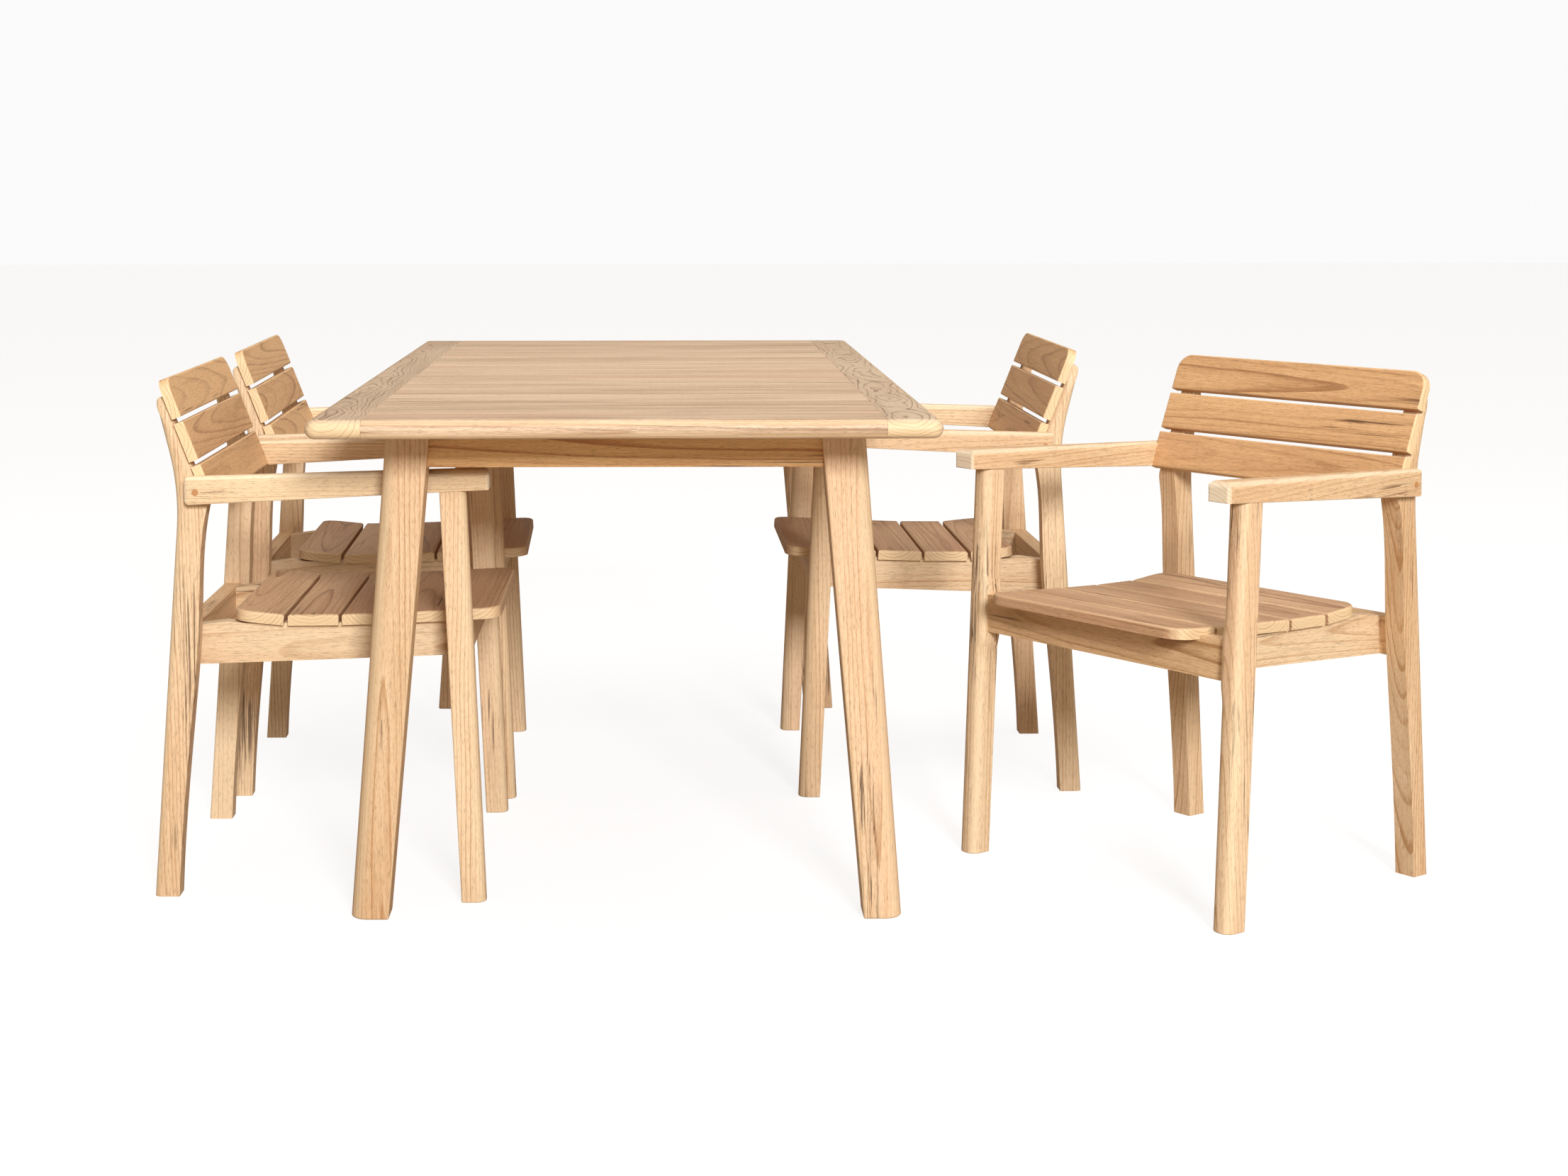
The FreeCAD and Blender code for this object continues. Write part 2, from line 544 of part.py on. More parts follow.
def front_leg_inner_edge():
    """The inner edge of the leg seen from the front: straight, with a smooth swelling along the rail."""
    plain, swollen = FRONT_LEG_INNER, FRONT_LEG_INNER - FRONT_LEG_SWELL
    points = [V(0, plain, 0), V(0, plain, FRONT_RAIL_BOTTOM - FRONT_LEG_SWELL_RUN),
              V(0, swollen, FRONT_RAIL_BOTTOM), V(0, swollen, FRONT_RAIL_TOP),
              V(0, plain, FRONT_RAIL_TOP + FRONT_LEG_SWELL_RUN), V(0, plain, ARM_FRONT_UNDER + SPARE)]
    edges = []
    for start, end in zip(points, points[1:]):
        if start.y == end.y:
            edges.append(line_edge(start, end))
            continue
        curve = Part.BSplineCurve()
        curve.interpolate(Points=[start, end], InitialTangent=V(0, 0, 1), FinalTangent=V(0, 0, 1))
        edges.append(curve.toShape())
    return edges


def front_leg_middle(height):
    """X of the middle of the raked front leg at one height."""
    return FRONT_LEG_X - FRONT_LEG_LEAN * height / ARM_FRONT_UNDER


def front_leg():
    """The left front leg: raked forward, rounded at the front, swelling at the rail, cut to the arm."""
    top = ARM_FRONT_UNDER + SPARE
    inner = front_leg_inner_edge()
    foot_outer, top_outer = V(0, CHAIR_HALF_WIDTH, 0), V(0, CHAIR_HALF_WIDTH, top)
    ends = [line_edge(V(0, FRONT_LEG_INNER, top), top_outer), line_edge(top_outer, foot_outer),
            line_edge(foot_outer, V(0, FRONT_LEG_INNER, 0))]
    front_view = Part.Face(Part.Wire(inner + ends)).extrude(V(2 * CHAIR_HALF_WIDTH, 0, 0))
    foot_half, top_half = FRONT_LEG_FOOT_DEPTH / 2, FRONT_LEG_TOP_DEPTH / 2
    side_view = side_prism([(FRONT_LEG_X - foot_half, 0), (FRONT_LEG_X + foot_half, 0),
                            (front_leg_middle(top) + top_half, top), (front_leg_middle(top) - top_half, top)],
                           FRONT_LEG_INNER - SPARE, CHAIR_HALF_WIDTH + SPARE)
    leg = front_view.common(side_view).Solids[0]
    upright = edges_at(leg, lambda centre, edge: edge.BoundBox.ZLength > FRONT_LEG_SWELL_RUN / 2)
    leg = leg.makeFillet(FRONT_LEG_NOSE, [edge for edge in upright
                                          if edge.CenterOfMass.x > front_leg_middle(edge.CenterOfMass.z)])
    upright = edges_at(leg, lambda centre, edge: edge.BoundBox.ZLength > FRONT_LEG_SWELL_RUN / 2
                       and centre.x < front_leg_middle(centre.z) - foot_half / 2)
    leg = leg.makeFillet(FRONT_LEG_BACK_RADIUS, upright)
    low, high = FRONT_LEG_X - 2 * SPARE, FRONT_LEG_X + 2 * SPARE
    under_arm = side_prism([(low, -SPARE), (high, -SPARE), (high, arm_under(high)), (low, arm_under(low))],
                           FRONT_LEG_INNER - SPARE, CHAIR_HALF_WIDTH + SPARE)
    leg = leg.common(under_arm).Solids[0]
    sole = edges_at(leg, lambda centre, edge: edge.BoundBox.ZMax < TOUCH)
    return leg.makeFillet(CHAIR_SOLE_ROUNDING, sole)


def back_plane_x(height):
    """X of the posts' sloping front face at one height."""
    return BACK_PLANE_X - (height - BACK_PLANE_Z) * math.tan(LEAN)


def up_the_back(distance):
    """The step from the lower back corner of the lowest slat, up along the posts' sloping face."""
    return V(-math.sin(LEAN), 0, math.cos(LEAN)) * distance


def out_of_the_back(distance):
    """The step square to the posts' sloping face, towards the sitter."""
    return V(math.cos(LEAN), 0, math.sin(LEAN)) * distance


def rear_leg_back_edge():
    """The back edge from the post's crown down to the foot: two straight runs joined by a long bend."""
    crown_front = V(back_plane_x(POST_CROWN_Z), 0, POST_CROWN_Z)
    crown_back = crown_front - out_of_the_back(POST_CROWN_THICKNESS)
    crown_top = (crown_front + crown_back) * 0.5 + up_the_back(POST_CROWN)
    corner = V(REAR_LEG_BEND_X, 0, REAR_LEG_BEND_Z)
    foot = V(REAR_LEG_FOOT_BACK, 0, 0)
    down, up = (foot - corner).normalize(), (crown_back - corner).normalize()
    turn = math.pi - down.getAngle(up)
    tangent = REAR_LEG_BEND_RADIUS * math.tan(turn / 2)
    middle = corner + (down + up).normalize() * (REAR_LEG_BEND_RADIUS * (1 / math.cos(turn / 2) - 1))
    high_bend, low_bend = corner + up * tangent, corner + down * tangent
    return [arc_edge(crown_front, crown_top, crown_back), line_edge(crown_back, high_bend),
            arc_edge(high_bend, middle, low_bend), line_edge(low_bend, foot)]


def rear_leg_front_edge():
    """The front edge from the foot to the back slats: nearly straight, then flaring forward under the arm."""
    foot_x = REAR_LEG_FOOT_BACK + REAR_LEG_FOOT_DEPTH
    top_x = back_plane_x(BACK_BOTTOM_Z)
    waist_x = top_x - REAR_LEG_WAIST_INSET
    shank_x = blend(foot_x, waist_x, REAR_LEG_SHANK_SHARE)
    scoop_z = blend(REAR_LEG_WAIST_Z, BACK_BOTTOM_Z, REAR_LEG_SCOOP_SHARE)
    points = [(foot_x, 0.0), (shank_x, REAR_LEG_WAIST_Z * REAR_LEG_SHANK_SHARE), (waist_x, REAR_LEG_WAIST_Z),
              (top_x - REAR_LEG_SCOOP_INSET, scoop_z), (top_x, BACK_BOTTOM_Z)]
    curve = Part.BSplineCurve()
    curve.interpolate([V(x, 0, z) for x, z in points])
    return curve.toShape()


def rear_leg():
    """The left rear leg and back post in one piece, seen from the side and given its width."""
    foot_front = V(REAR_LEG_FOOT_BACK + REAR_LEG_FOOT_DEPTH, 0, 0)
    flare_top = V(back_plane_x(BACK_BOTTOM_Z), 0, BACK_BOTTOM_Z)
    crown_front = V(back_plane_x(POST_CROWN_Z), 0, POST_CROWN_Z)
    rear = rear_leg_back_edge()
    outline = [rear_leg_front_edge(), line_edge(flare_top, crown_front)] + rear
    outline.append(line_edge(V(REAR_LEG_FOOT_BACK, 0, 0), foot_front))
    leg = Part.Face(Part.Wire(outline)).extrude(V(0, REAR_LEG_WIDTH, 0))
    leg.translate(V(0, REAR_LEG_INNER, 0))
    leg = leg.makeFillet(REAR_LEG_OUTER_ROUNDING, edges_along(leg, rear[1:], REAR_LEG_OUTER))
    return leg.makeFillet(REAR_LEG_INNER_ROUNDING, edges_along(leg, rear[1:], REAR_LEG_INNER))


def edges_along(solid, path, y):
    """The edges of a solid that copy the edges of a path, moved to one Y."""
    centres = [edge.CenterOfMass + V(0, y, 0) for edge in path]
    return edges_at(solid, lambda centre, edge: any(centre.distanceToPoint(c) < TOUCH for c in centres))


# ---- Chair: back and seat ---------------------------------------------------------
def eased_board(width, length, thickness, corners, easing):
    """A board with its width along X, its length along Y and its top at Z = 0.

    corners gives the radius of its low-X and high-X corners, and easing rounds the top edges.
    """
    board = block(0, width, -length / 2, length / 2, -thickness, 0)
    for x, radius in ((0, corners[0]), (width, corners[1])):
        if radius > 0:
            upright = edges_at(board, lambda centre, edge: abs(centre.x - x) < TOUCH
                               and abs(centre.z + thickness / 2) < TOUCH)
            board = board.makeFillet(radius, upright)
    rim = edges_at(board, lambda centre, edge: edge.BoundBox.ZMin > -TOUCH)
    return board.makeFillet(easing, rim)


def seat_height(x):
    """Height of the seat's upper surface at one X: a dish that rises to the back and the front."""
    if x < SEAT_LOW_X:
        return SEAT_LOW_Z + SEAT_BACK_RISE * ((SEAT_LOW_X - x) / (SEAT_LOW_X - SEAT_BACK_X)) ** 2
    return SEAT_LOW_Z + SEAT_FRONT_RISE * ((x - SEAT_LOW_X) / (SEAT_FRONT_X - SEAT_LOW_X)) ** 1.5


def seat_slat_frame(index):
    """The upper back edge and the tilt in degrees of one seat slat, counted from the back."""
    start = SEAT_BACK_X + index * SEAT_PITCH
    rise = seat_height(start + SEAT_SLAT_WIDTH) - seat_height(start)
    return V(start, 0, seat_height(start)), math.degrees(math.asin(rise / SEAT_SLAT_WIDTH))


def seat_slat(index):
    """One seat slat on the dish, with rounded outer corners if it is the first or the last."""
    corners = (SEAT_SLAT_CORNER if index == 0 else 0,
               SEAT_SLAT_CORNER if index == SEAT_SLAT_COUNT - 1 else 0)
    slat = eased_board(SEAT_SLAT_WIDTH, 2 * SEAT_SLAT_HALF_LENGTH, SEAT_SLAT_THICKNESS,
                       corners, SEAT_SLAT_EASING)
    return placed_on_seat(slat, index)


def placed_on_seat(shape, index):
    """A shape moved from a slat's own frame to the slat's place on the dish."""
    place, tilt = seat_slat_frame(index)
    shape.Placement = FreeCAD.Placement(place, FreeCAD.Rotation(V(0, 1, 0), -tilt))
    return shape


def seat_cutters():
    """What the rails lose to seat the slats: each slat's own block, open upwards."""
    half = SEAT_SLAT_HALF_LENGTH + SEAT_END_CLEARANCE
    cutters = []
    for index in range(SEAT_SLAT_COUNT):
        cutter = block(0, SEAT_SLAT_WIDTH, -half, half, -SEAT_SLAT_THICKNESS, SPARE)
        cutters.append(placed_on_seat(cutter, index))
    return Part.makeCompound(cutters)


def back_slat(index):
    """One back slat, counted from the top; the top one has rounded upper corners."""
    corners = (0, BACK_SLAT_CORNER if index == 0 else 0)
    slat = eased_board(BACK_SLAT_WIDTH, 2 * BACK_SLAT_HALF_LENGTH, BACK_SLAT_THICKNESS,
                       corners, BACK_SLAT_EASING)
    return placed_on_back(slat, index)


def placed_on_back(shape, index):
    """A shape moved from a back slat's own frame (X up the back, Z its front face) to its place."""
    along = (BACK_SLAT_COUNT - 1 - index) * (BACK_SLAT_WIDTH + BACK_SLAT_GAP)
    corner = V(back_plane_x(BACK_BOTTOM_Z), 0, BACK_BOTTOM_Z)
    start = corner + up_the_back(along) + out_of_the_back(BACK_SLAT_THICKNESS)
    turn = FreeCAD.Rotation(up_the_back(1.0), V(0, -1, 0), out_of_the_back(1.0), "XZY")
    shape.Placement = FreeCAD.Placement(start, turn)
    return shape


def side_rail():
    """The left side rail: its top follows the slats, with a ridge in each gap and a ramp at the back."""
    front = FRONT_RAIL_FRONT_X - RAIL_THICKNESS
    crest = [(SEAT_BACK_X + index * SEAT_PITCH - SEAT_SLAT_GAP / 2) for index in range(1, SEAT_SLAT_COUNT)]
    top = [(BACK_RAIL_FRONT_X, SIDE_RAIL_BACK_TOP), (SEAT_BACK_X - SIDE_RAIL_RAMP, SIDE_RAIL_RAMP_TOP)]
    top += [(SEAT_BACK_X + SIDE_RAIL_RAMP, SIDE_RAIL_RAMP_TOP - SEAT_RIDGE)]
    top += [(x, seat_height(x) - SEAT_SLAT_THICKNESS + SEAT_RIDGE) for x in crest if x < front]
    top.append((front, seat_height(front) - SEAT_SLAT_THICKNESS + SEAT_RIDGE))
    outline = [(BACK_RAIL_FRONT_X, SIDE_RAIL_BACK_BOTTOM), (front, SIDE_RAIL_FRONT_BOTTOM)] + top[::-1]
    rail = side_prism(outline, SIDE_RAIL_OUTER - RAIL_THICKNESS, SIDE_RAIL_OUTER)
    return rail.cut(seat_cutters())


def front_rail(legs):
    """The rail between the front legs, cut to their swelling inner faces and to the slats."""
    rail = block(FRONT_RAIL_FRONT_X - RAIL_THICKNESS, FRONT_RAIL_FRONT_X,
                 -FRONT_LEG_INNER - FRONT_LEG_SWELL, FRONT_LEG_INNER + FRONT_LEG_SWELL,
                 FRONT_RAIL_BOTTOM, FRONT_RAIL_TOP)
    return rail.cut(Part.makeCompound(legs)).cut(seat_cutters())


def back_rail():
    """The rail between the rear legs."""
    return block(BACK_RAIL_FRONT_X - RAIL_THICKNESS, BACK_RAIL_FRONT_X, -REAR_LEG_INNER, REAR_LEG_INNER,
                 SIDE_RAIL_BACK_BOTTOM, SIDE_RAIL_BACK_TOP)


# ---- Chair: arms -------------------------------------------------------------------
def arm_outer(x):
    """Y of the arm's outer face at one X."""
    share = (x - ARM_BACK_X) / (ARM_FRONT_X - ARM_BACK_X)
    return blend(REAR_LEG_OUTER + ARM_BACK_WIDTH, CHAIR_HALF_WIDTH + ARM_SIDE_REVEAL, share)


def arm_inner(x):
    """Y of the arm's inner face at one X: flat along the post, then sweeping inward to the front."""
    start = back_plane_x(BACK_BOTTOM_Z)
    share = max(0.0, (x - start) / (ARM_FRONT_X - start))
    narrow = REAR_LEG_OUTER
    wide = CHAIR_HALF_WIDTH + ARM_SIDE_REVEAL - ARM_FRONT_WIDTH
    return blend(narrow, wide, share * share * (3 - 2 * share))


def arm_loop(x):
    """The arm's cross-section at one X: round along the top, crisp along the underside."""
    share = (x - ARM_BACK_X) / (ARM_FRONT_X - ARM_BACK_X)
    low = arm_under(x)
    high = low + blend(ARM_BACK_THICKNESS, ARM_FRONT_THICKNESS, share)
    upper = blend(ARM_BACK_ROUNDING, ARM_FRONT_ROUNDING, share)
    corners = [(arm_inner(x), low), (arm_outer(x), low), (arm_outer(x), high), (arm_inner(x), high)]
    radii = (ARM_UNDER_ROUNDING, ARM_UNDER_ROUNDING, upper, upper)
    return rounded_loop(corners, radii, lambda y, z: V(x, y, z))


def arm_ends_from_side():
    """The arm's outline seen from the side, with its rounded heel and toe, as a cutting prism."""
    corners = [(ARM_BACK_X, arm_under(ARM_BACK_X)), (ARM_FRONT_X, arm_under(ARM_FRONT_X)),
               (ARM_FRONT_X, ARM_FRONT_UNDER + ARM_FRONT_THICKNESS),
               (ARM_BACK_X, ARM_BACK_UNDER + ARM_BACK_THICKNESS)]
    radii = (ARM_HEEL_RADIUS, ARM_UNDER_ROUNDING, ARM_TOE_RADIUS, ARM_HEEL_RADIUS)
    loop = rounded_loop(corners, radii, lambda x, z: V(x, 0, z))
    return Part.Face(loop).extrude(V(0, 2 * CHAIR_HALF_WIDTH, 0))


def arm_ends_from_above():
    """The arm's outline seen from above, with its rounded front corners, as a cutting prism."""
    inner = CHAIR_HALF_WIDTH + ARM_SIDE_REVEAL - ARM_FRONT_WIDTH
    corners = [(ARM_BACK_X, inner), (ARM_FRONT_X, inner),
               (ARM_FRONT_X, arm_outer(ARM_FRONT_X)), (ARM_BACK_X, arm_outer(ARM_BACK_X))]
    radii = (ARM_UNDER_ROUNDING, ARM_PLAN_INNER_RADIUS, ARM_PLAN_OUTER_RADIUS, ARM_PLAN_OUTER_RADIUS)
    loop = rounded_loop(corners, radii, lambda x, y: V(x, y, 0))
    return Part.Face(loop).extrude(V(0, 0, clear_above(ARM_FRONT_UNDER + ARM_FRONT_THICKNESS)))


def armrest():
    """The left arm: tapered in plan and in height, housed round the end of the lowest back slat."""
    first, last = ARM_BACK_X - ARM_END_SPARE, ARM_FRONT_X + ARM_END_SPARE
    stations = [blend(first, last, step / (ARM_STATIONS - 1)) for step in range(ARM_STATIONS)]
    arm = Part.makeLoft([arm_loop(x) for x in stations], True, False)
    arm = arm.common(arm_ends_from_side()).common(arm_ends_from_above())
    gap = ARM_HOUSING_CLEARANCE
    reach = BACK_SLAT_HALF_LENGTH + gap
    housing = block(-gap, BACK_SLAT_WIDTH + gap, -reach, reach, -BACK_SLAT_THICKNESS - SPARE, gap)
    housing = placed_on_back(housing, BACK_SLAT_COUNT - 1)
    high = clear_above(ARM_FRONT_UNDER + ARM_FRONT_THICKNESS)
    ahead_of_posts = side_prism([(back_plane_x(0.0), 0.0), (2 * CHAIR_HALF_WIDTH, 0.0),
                                 (2 * CHAIR_HALF_WIDTH, high), (back_plane_x(high), high)],
                                REAR_LEG_OUTER, 2 * CHAIR_HALF_WIDTH)
    return arm.cut(housing.common(ahead_of_posts))


# ---- Chair: dowels ------------------------------------------------------------------
def rail_dowels():
    """Two dowels at every joint between a rail and what it meets, on the left side."""
    half = DOWEL_SPACING / 2
    front_x = FRONT_RAIL_FRONT_X - RAIL_THICKNESS / 2
    back_x = BACK_RAIL_FRONT_X - RAIL_THICKNESS / 2
    front_z = (FRONT_RAIL_BOTTOM + FRONT_RAIL_TOP) / 2
    back_z = (SIDE_RAIL_BACK_BOTTOM + SIDE_RAIL_BACK_TOP) / 2
    side_y = SIDE_RAIL_OUTER - RAIL_THICKNESS / 2
    dowels = []
    for offset in (-half, half):
        starts = [(V(front_x, FRONT_LEG_INNER - DOWEL_LENGTH / 2, front_z + offset), V(0, 1, 0)),
                  (V(back_x, REAR_LEG_INNER - DOWEL_LENGTH / 2, back_z + offset), V(0, 1, 0)),
                  (V(front_x - RAIL_THICKNESS / 2 - DOWEL_LENGTH / 2, side_y, front_z + offset), V(1, 0, 0)),
                  (V(BACK_RAIL_FRONT_X - DOWEL_LENGTH / 2, side_y, back_z + offset), V(1, 0, 0))]
        dowels += [pin(start, direction, DOWEL_DIAMETER, DOWEL_LENGTH) for start, direction in starts]
    return dowels


def arm_dowels():
    """The left arm's upright dowel into the front leg, and its dowel through into the post."""
    leg_x = FRONT_LEG_X - FRONT_LEG_LEAN
    leg_y = CHAIR_HALF_WIDTH - FRONT_LEG_WIDTH / 2
    upright = pin(V(leg_x, leg_y, arm_under(leg_x) - DOWEL_LENGTH / 2), V(0, 0, 1),
                  DOWEL_DIAMETER, DOWEL_LENGTH)
    outside = arm_outer(ARM_DOWEL_X) + ARM_DOWEL_STAND
    across = pin(V(ARM_DOWEL_X, outside, ARM_DOWEL_Z), V(0, -1, 0), ARM_DOWEL_DIAMETER,
                 outside - REAR_LEG_OUTER + ARM_DOWEL_IN_POST)
    return [upright, across]


def back_dowels():
    """A dowel from the left post into each back slat."""
    corner = V(back_plane_x(BACK_BOTTOM_Z), REAR_LEG_OUTER - REAR_LEG_WIDTH / 2, BACK_BOTTOM_Z)
    dowels = []
    for index in range(BACK_SLAT_COUNT):
        along = index * (BACK_SLAT_WIDTH + BACK_SLAT_GAP) + BACK_SLAT_WIDTH * BACK_DOWEL_SHARE
        start = corner + up_the_back(along) - out_of_the_back(BACK_DOWEL_IN_POST)
        dowels.append(pin(start, out_of_the_back(1.0), DOWEL_DIAMETER,
                          BACK_DOWEL_IN_POST + BACK_DOWEL_IN_SLAT))
    return dowels


def seat_dowels():
    """A dowel up into each seat slat, from the left side rail or, at the front, from the front rail."""
    dowels = []
    for index in range(SEAT_SLAT_COUNT):
        place, tilt = seat_slat_frame(index)
        x, y = place.x + SEAT_SLAT_WIDTH / 2, SIDE_RAIL_OUTER - RAIL_THICKNESS / 2
        if x > FRONT_RAIL_FRONT_X - RAIL_THICKNESS:
            x, y = FRONT_RAIL_FRONT_X - RAIL_THICKNESS / 2, SIDE_RAIL_OUTER - 2 * RAIL_THICKNESS
        under = place.z + (x - place.x) * math.sin(math.radians(tilt)) - SEAT_SLAT_THICKNESS
        dowels.append(pin(V(x, y, under - SEAT_DOWEL_IN_RAIL), V(0, 0, 1), DOWEL_DIAMETER,
                          SEAT_DOWEL_IN_RAIL + SEAT_DOWEL_IN_SLAT))
    return dowels


def build_chair():
    """Every node of one chair in its own frame, as a name and its solids."""
    left_dowels = seat_dowels() + rail_dowels() + arm_dowels() + back_dowels()
    dowels = left_dowels + [mirrored(dowel) for dowel in left_dowels]
    tool = Part.makeCompound(dowels)
    front, rear, arm = front_leg(), rear_leg().cut(tool), armrest().cut(tool)
    rail = side_rail().cut(tool)
    drilled_front = front.cut(tool)
    return {
        "front_leg_left": [drilled_front],
        "front_leg_right": [mirrored(drilled_front)],
        "rear_leg_left": [rear],
        "rear_leg_right": [mirrored(rear)],
        "armrest_left": [arm],
        "armrest_right": [mirrored(arm)],
        "front_rail": [front_rail([front, mirrored(front)]).cut(tool)],
        "back_rail": [back_rail().cut(tool)],
        "side_rails": [rail, mirrored(rail)],
        "seat_slats": [seat_slat(index).cut(tool) for index in range(SEAT_SLAT_COUNT)],
        "back_slats": [back_slat(index).cut(tool) for index in range(BACK_SLAT_COUNT)],
        "dowels": dowels,
    }


# ---- The set ---------------------------------------------------------------------------
def left_chair_x(out):
    """X of a left-hand chair: tucked in when both chairs fit between the legs, else clear of the table."""
    between_legs = 2 * LEG_FOOT_Y - LEG_FOOT_DEPTH
    needed = NEAR_LEFT_LEG_GAP + CHAIR_TO_CHAIR_GAP + 4 * CHAIR_HALF_WIDTH
    if needed > between_legs:
        out += ARM_FRONT_X + CLEAR_OF_TABLE
    return -TABLE_WIDTH / 2 - out


def chair_places():
    """Where each chair stands beside the table, and the way it faces in degrees."""
    inner_foot = LEG_FOOT_Y - LEG_FOOT_DEPTH / 2
    near_left_y = NEAR_LEFT_LEG_GAP + CHAIR_HALF_WIDTH - inner_foot
    far_left_y = near_left_y + 2 * CHAIR_HALF_WIDTH + CHAIR_TO_CHAIR_GAP
    far_right_y = inner_foot - FAR_RIGHT_LEG_GAP - CHAIR_HALF_WIDTH
    near_right_y = far_right_y - 2 * CHAIR_HALF_WIDTH - RIGHT_CHAIR_GAP
    return {
        "near_left_chair": (left_chair_x(NEAR_LEFT_OUT), near_left_y, 0.0),
        "far_left_chair": (left_chair_x(FAR_LEFT_OUT), far_left_y, FAR_LEFT_FACING),
        "far_right_chair": (TABLE_WIDTH / 2 + FAR_RIGHT_OUT, far_right_y, FAR_RIGHT_FACING),
        "near_right_chair": (TABLE_WIDTH / 2 + NEAR_RIGHT_OUT, near_right_y, NEAR_RIGHT_FACING),
    }


def placed_chair(nodes, prefix, place):
    """The nodes of one chair, copied to its place beside the table."""
    x, y, facing = place
    placement = FreeCAD.Placement(V(x, y, 0), FreeCAD.Rotation(V(0, 0, 1), facing))
    moved = {}
    for name, solids in nodes.items():
        moved[prefix + "_" + name] = [solid.transformed(placement.toMatrix(), True) for solid in solids]
    return moved


def build_set():
    """Every node of the set, centred over the origin."""
    nodes = build_table()
    chair = build_chair()
    for prefix, place in chair_places().items():
        nodes.update(placed_chair(chair, prefix, place))
    everything = Part.makeCompound([solid for solids in nodes.values() for solid in solids])
    box = everything.optimalBoundingBox(False, False)
    shift = V(-(box.XMin + box.XMax) / 2, -(box.YMin + box.YMax) / 2, 0)
    for solids in nodes.values():
        for solid in solids:
            solid.translate(shift)
    return nodes


def main():
    """Write each node of the set to its own STEP file."""
    os.makedirs("parts", exist_ok=True)
    for name, solids in build_set().items():
        pieces = [piece for solid in solids for piece in solid.Solids]
        shape = pieces[0] if len(pieces) == 1 else Part.makeCompound(pieces)
        shape.exportStep("parts/" + name + ".step")


main()
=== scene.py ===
"""Looks of a teak garden dining set: one slatted table and four armchairs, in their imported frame."""

import json
import logging
import math
from dataclasses import dataclass, field, replace
from enum import Enum
from typing import Any, Union

import bpy
import numpy as np
from mathutils import Matrix, Vector


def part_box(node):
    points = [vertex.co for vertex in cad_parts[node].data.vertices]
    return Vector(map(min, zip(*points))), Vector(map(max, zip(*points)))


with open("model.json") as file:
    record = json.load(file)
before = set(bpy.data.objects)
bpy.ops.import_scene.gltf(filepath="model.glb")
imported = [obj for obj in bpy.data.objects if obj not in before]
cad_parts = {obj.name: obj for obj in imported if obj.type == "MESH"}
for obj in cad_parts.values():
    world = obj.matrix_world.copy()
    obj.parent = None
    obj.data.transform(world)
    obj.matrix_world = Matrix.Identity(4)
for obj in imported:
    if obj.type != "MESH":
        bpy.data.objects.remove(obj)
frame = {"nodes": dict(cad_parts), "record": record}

LOG = logging.getLogger("dining_set")
PLAIN_ROUGHNESS = 0.55      # how strong the finer layers of noise are, where nothing else is asked for
COAT_ROUGHNESS = 0.4
COLOUR_A, COLOUR_B, COLOUR_RESULT = 6, 7, 2     # places of the colour sockets on a Mix node
UPRIGHT, EAST, NORTH = Vector((0.0, 0.0, 1.0)), Vector((1.0, 0.0, 0.0)), Vector((0.0, 1.0, 0.0))
WHITE = (1.0, 1.0, 1.0)
Colour = tuple[float, float, float]


def linear(red: int, green: int, blue: int) -> Colour:
    """Turn a screen colour into a linear one.

    Each channel c becomes ((c + 0.055) / 1.055) to the power 2.4, or c / 12.92 if it is very dark.

    Args:
        red: Red channel, 0 to 255.
        green: Green channel, 0 to 255.
        blue: Blue channel, 0 to 255.

    Returns:
        The linear colour.
    """
    channels = np.array([red, green, blue]) / 255.0
    low = channels / 12.92
    high = ((channels + 0.055) / 1.055) ** 2.4
    return tuple(float(c) for c in np.where(channels <= 0.04045, low, high))


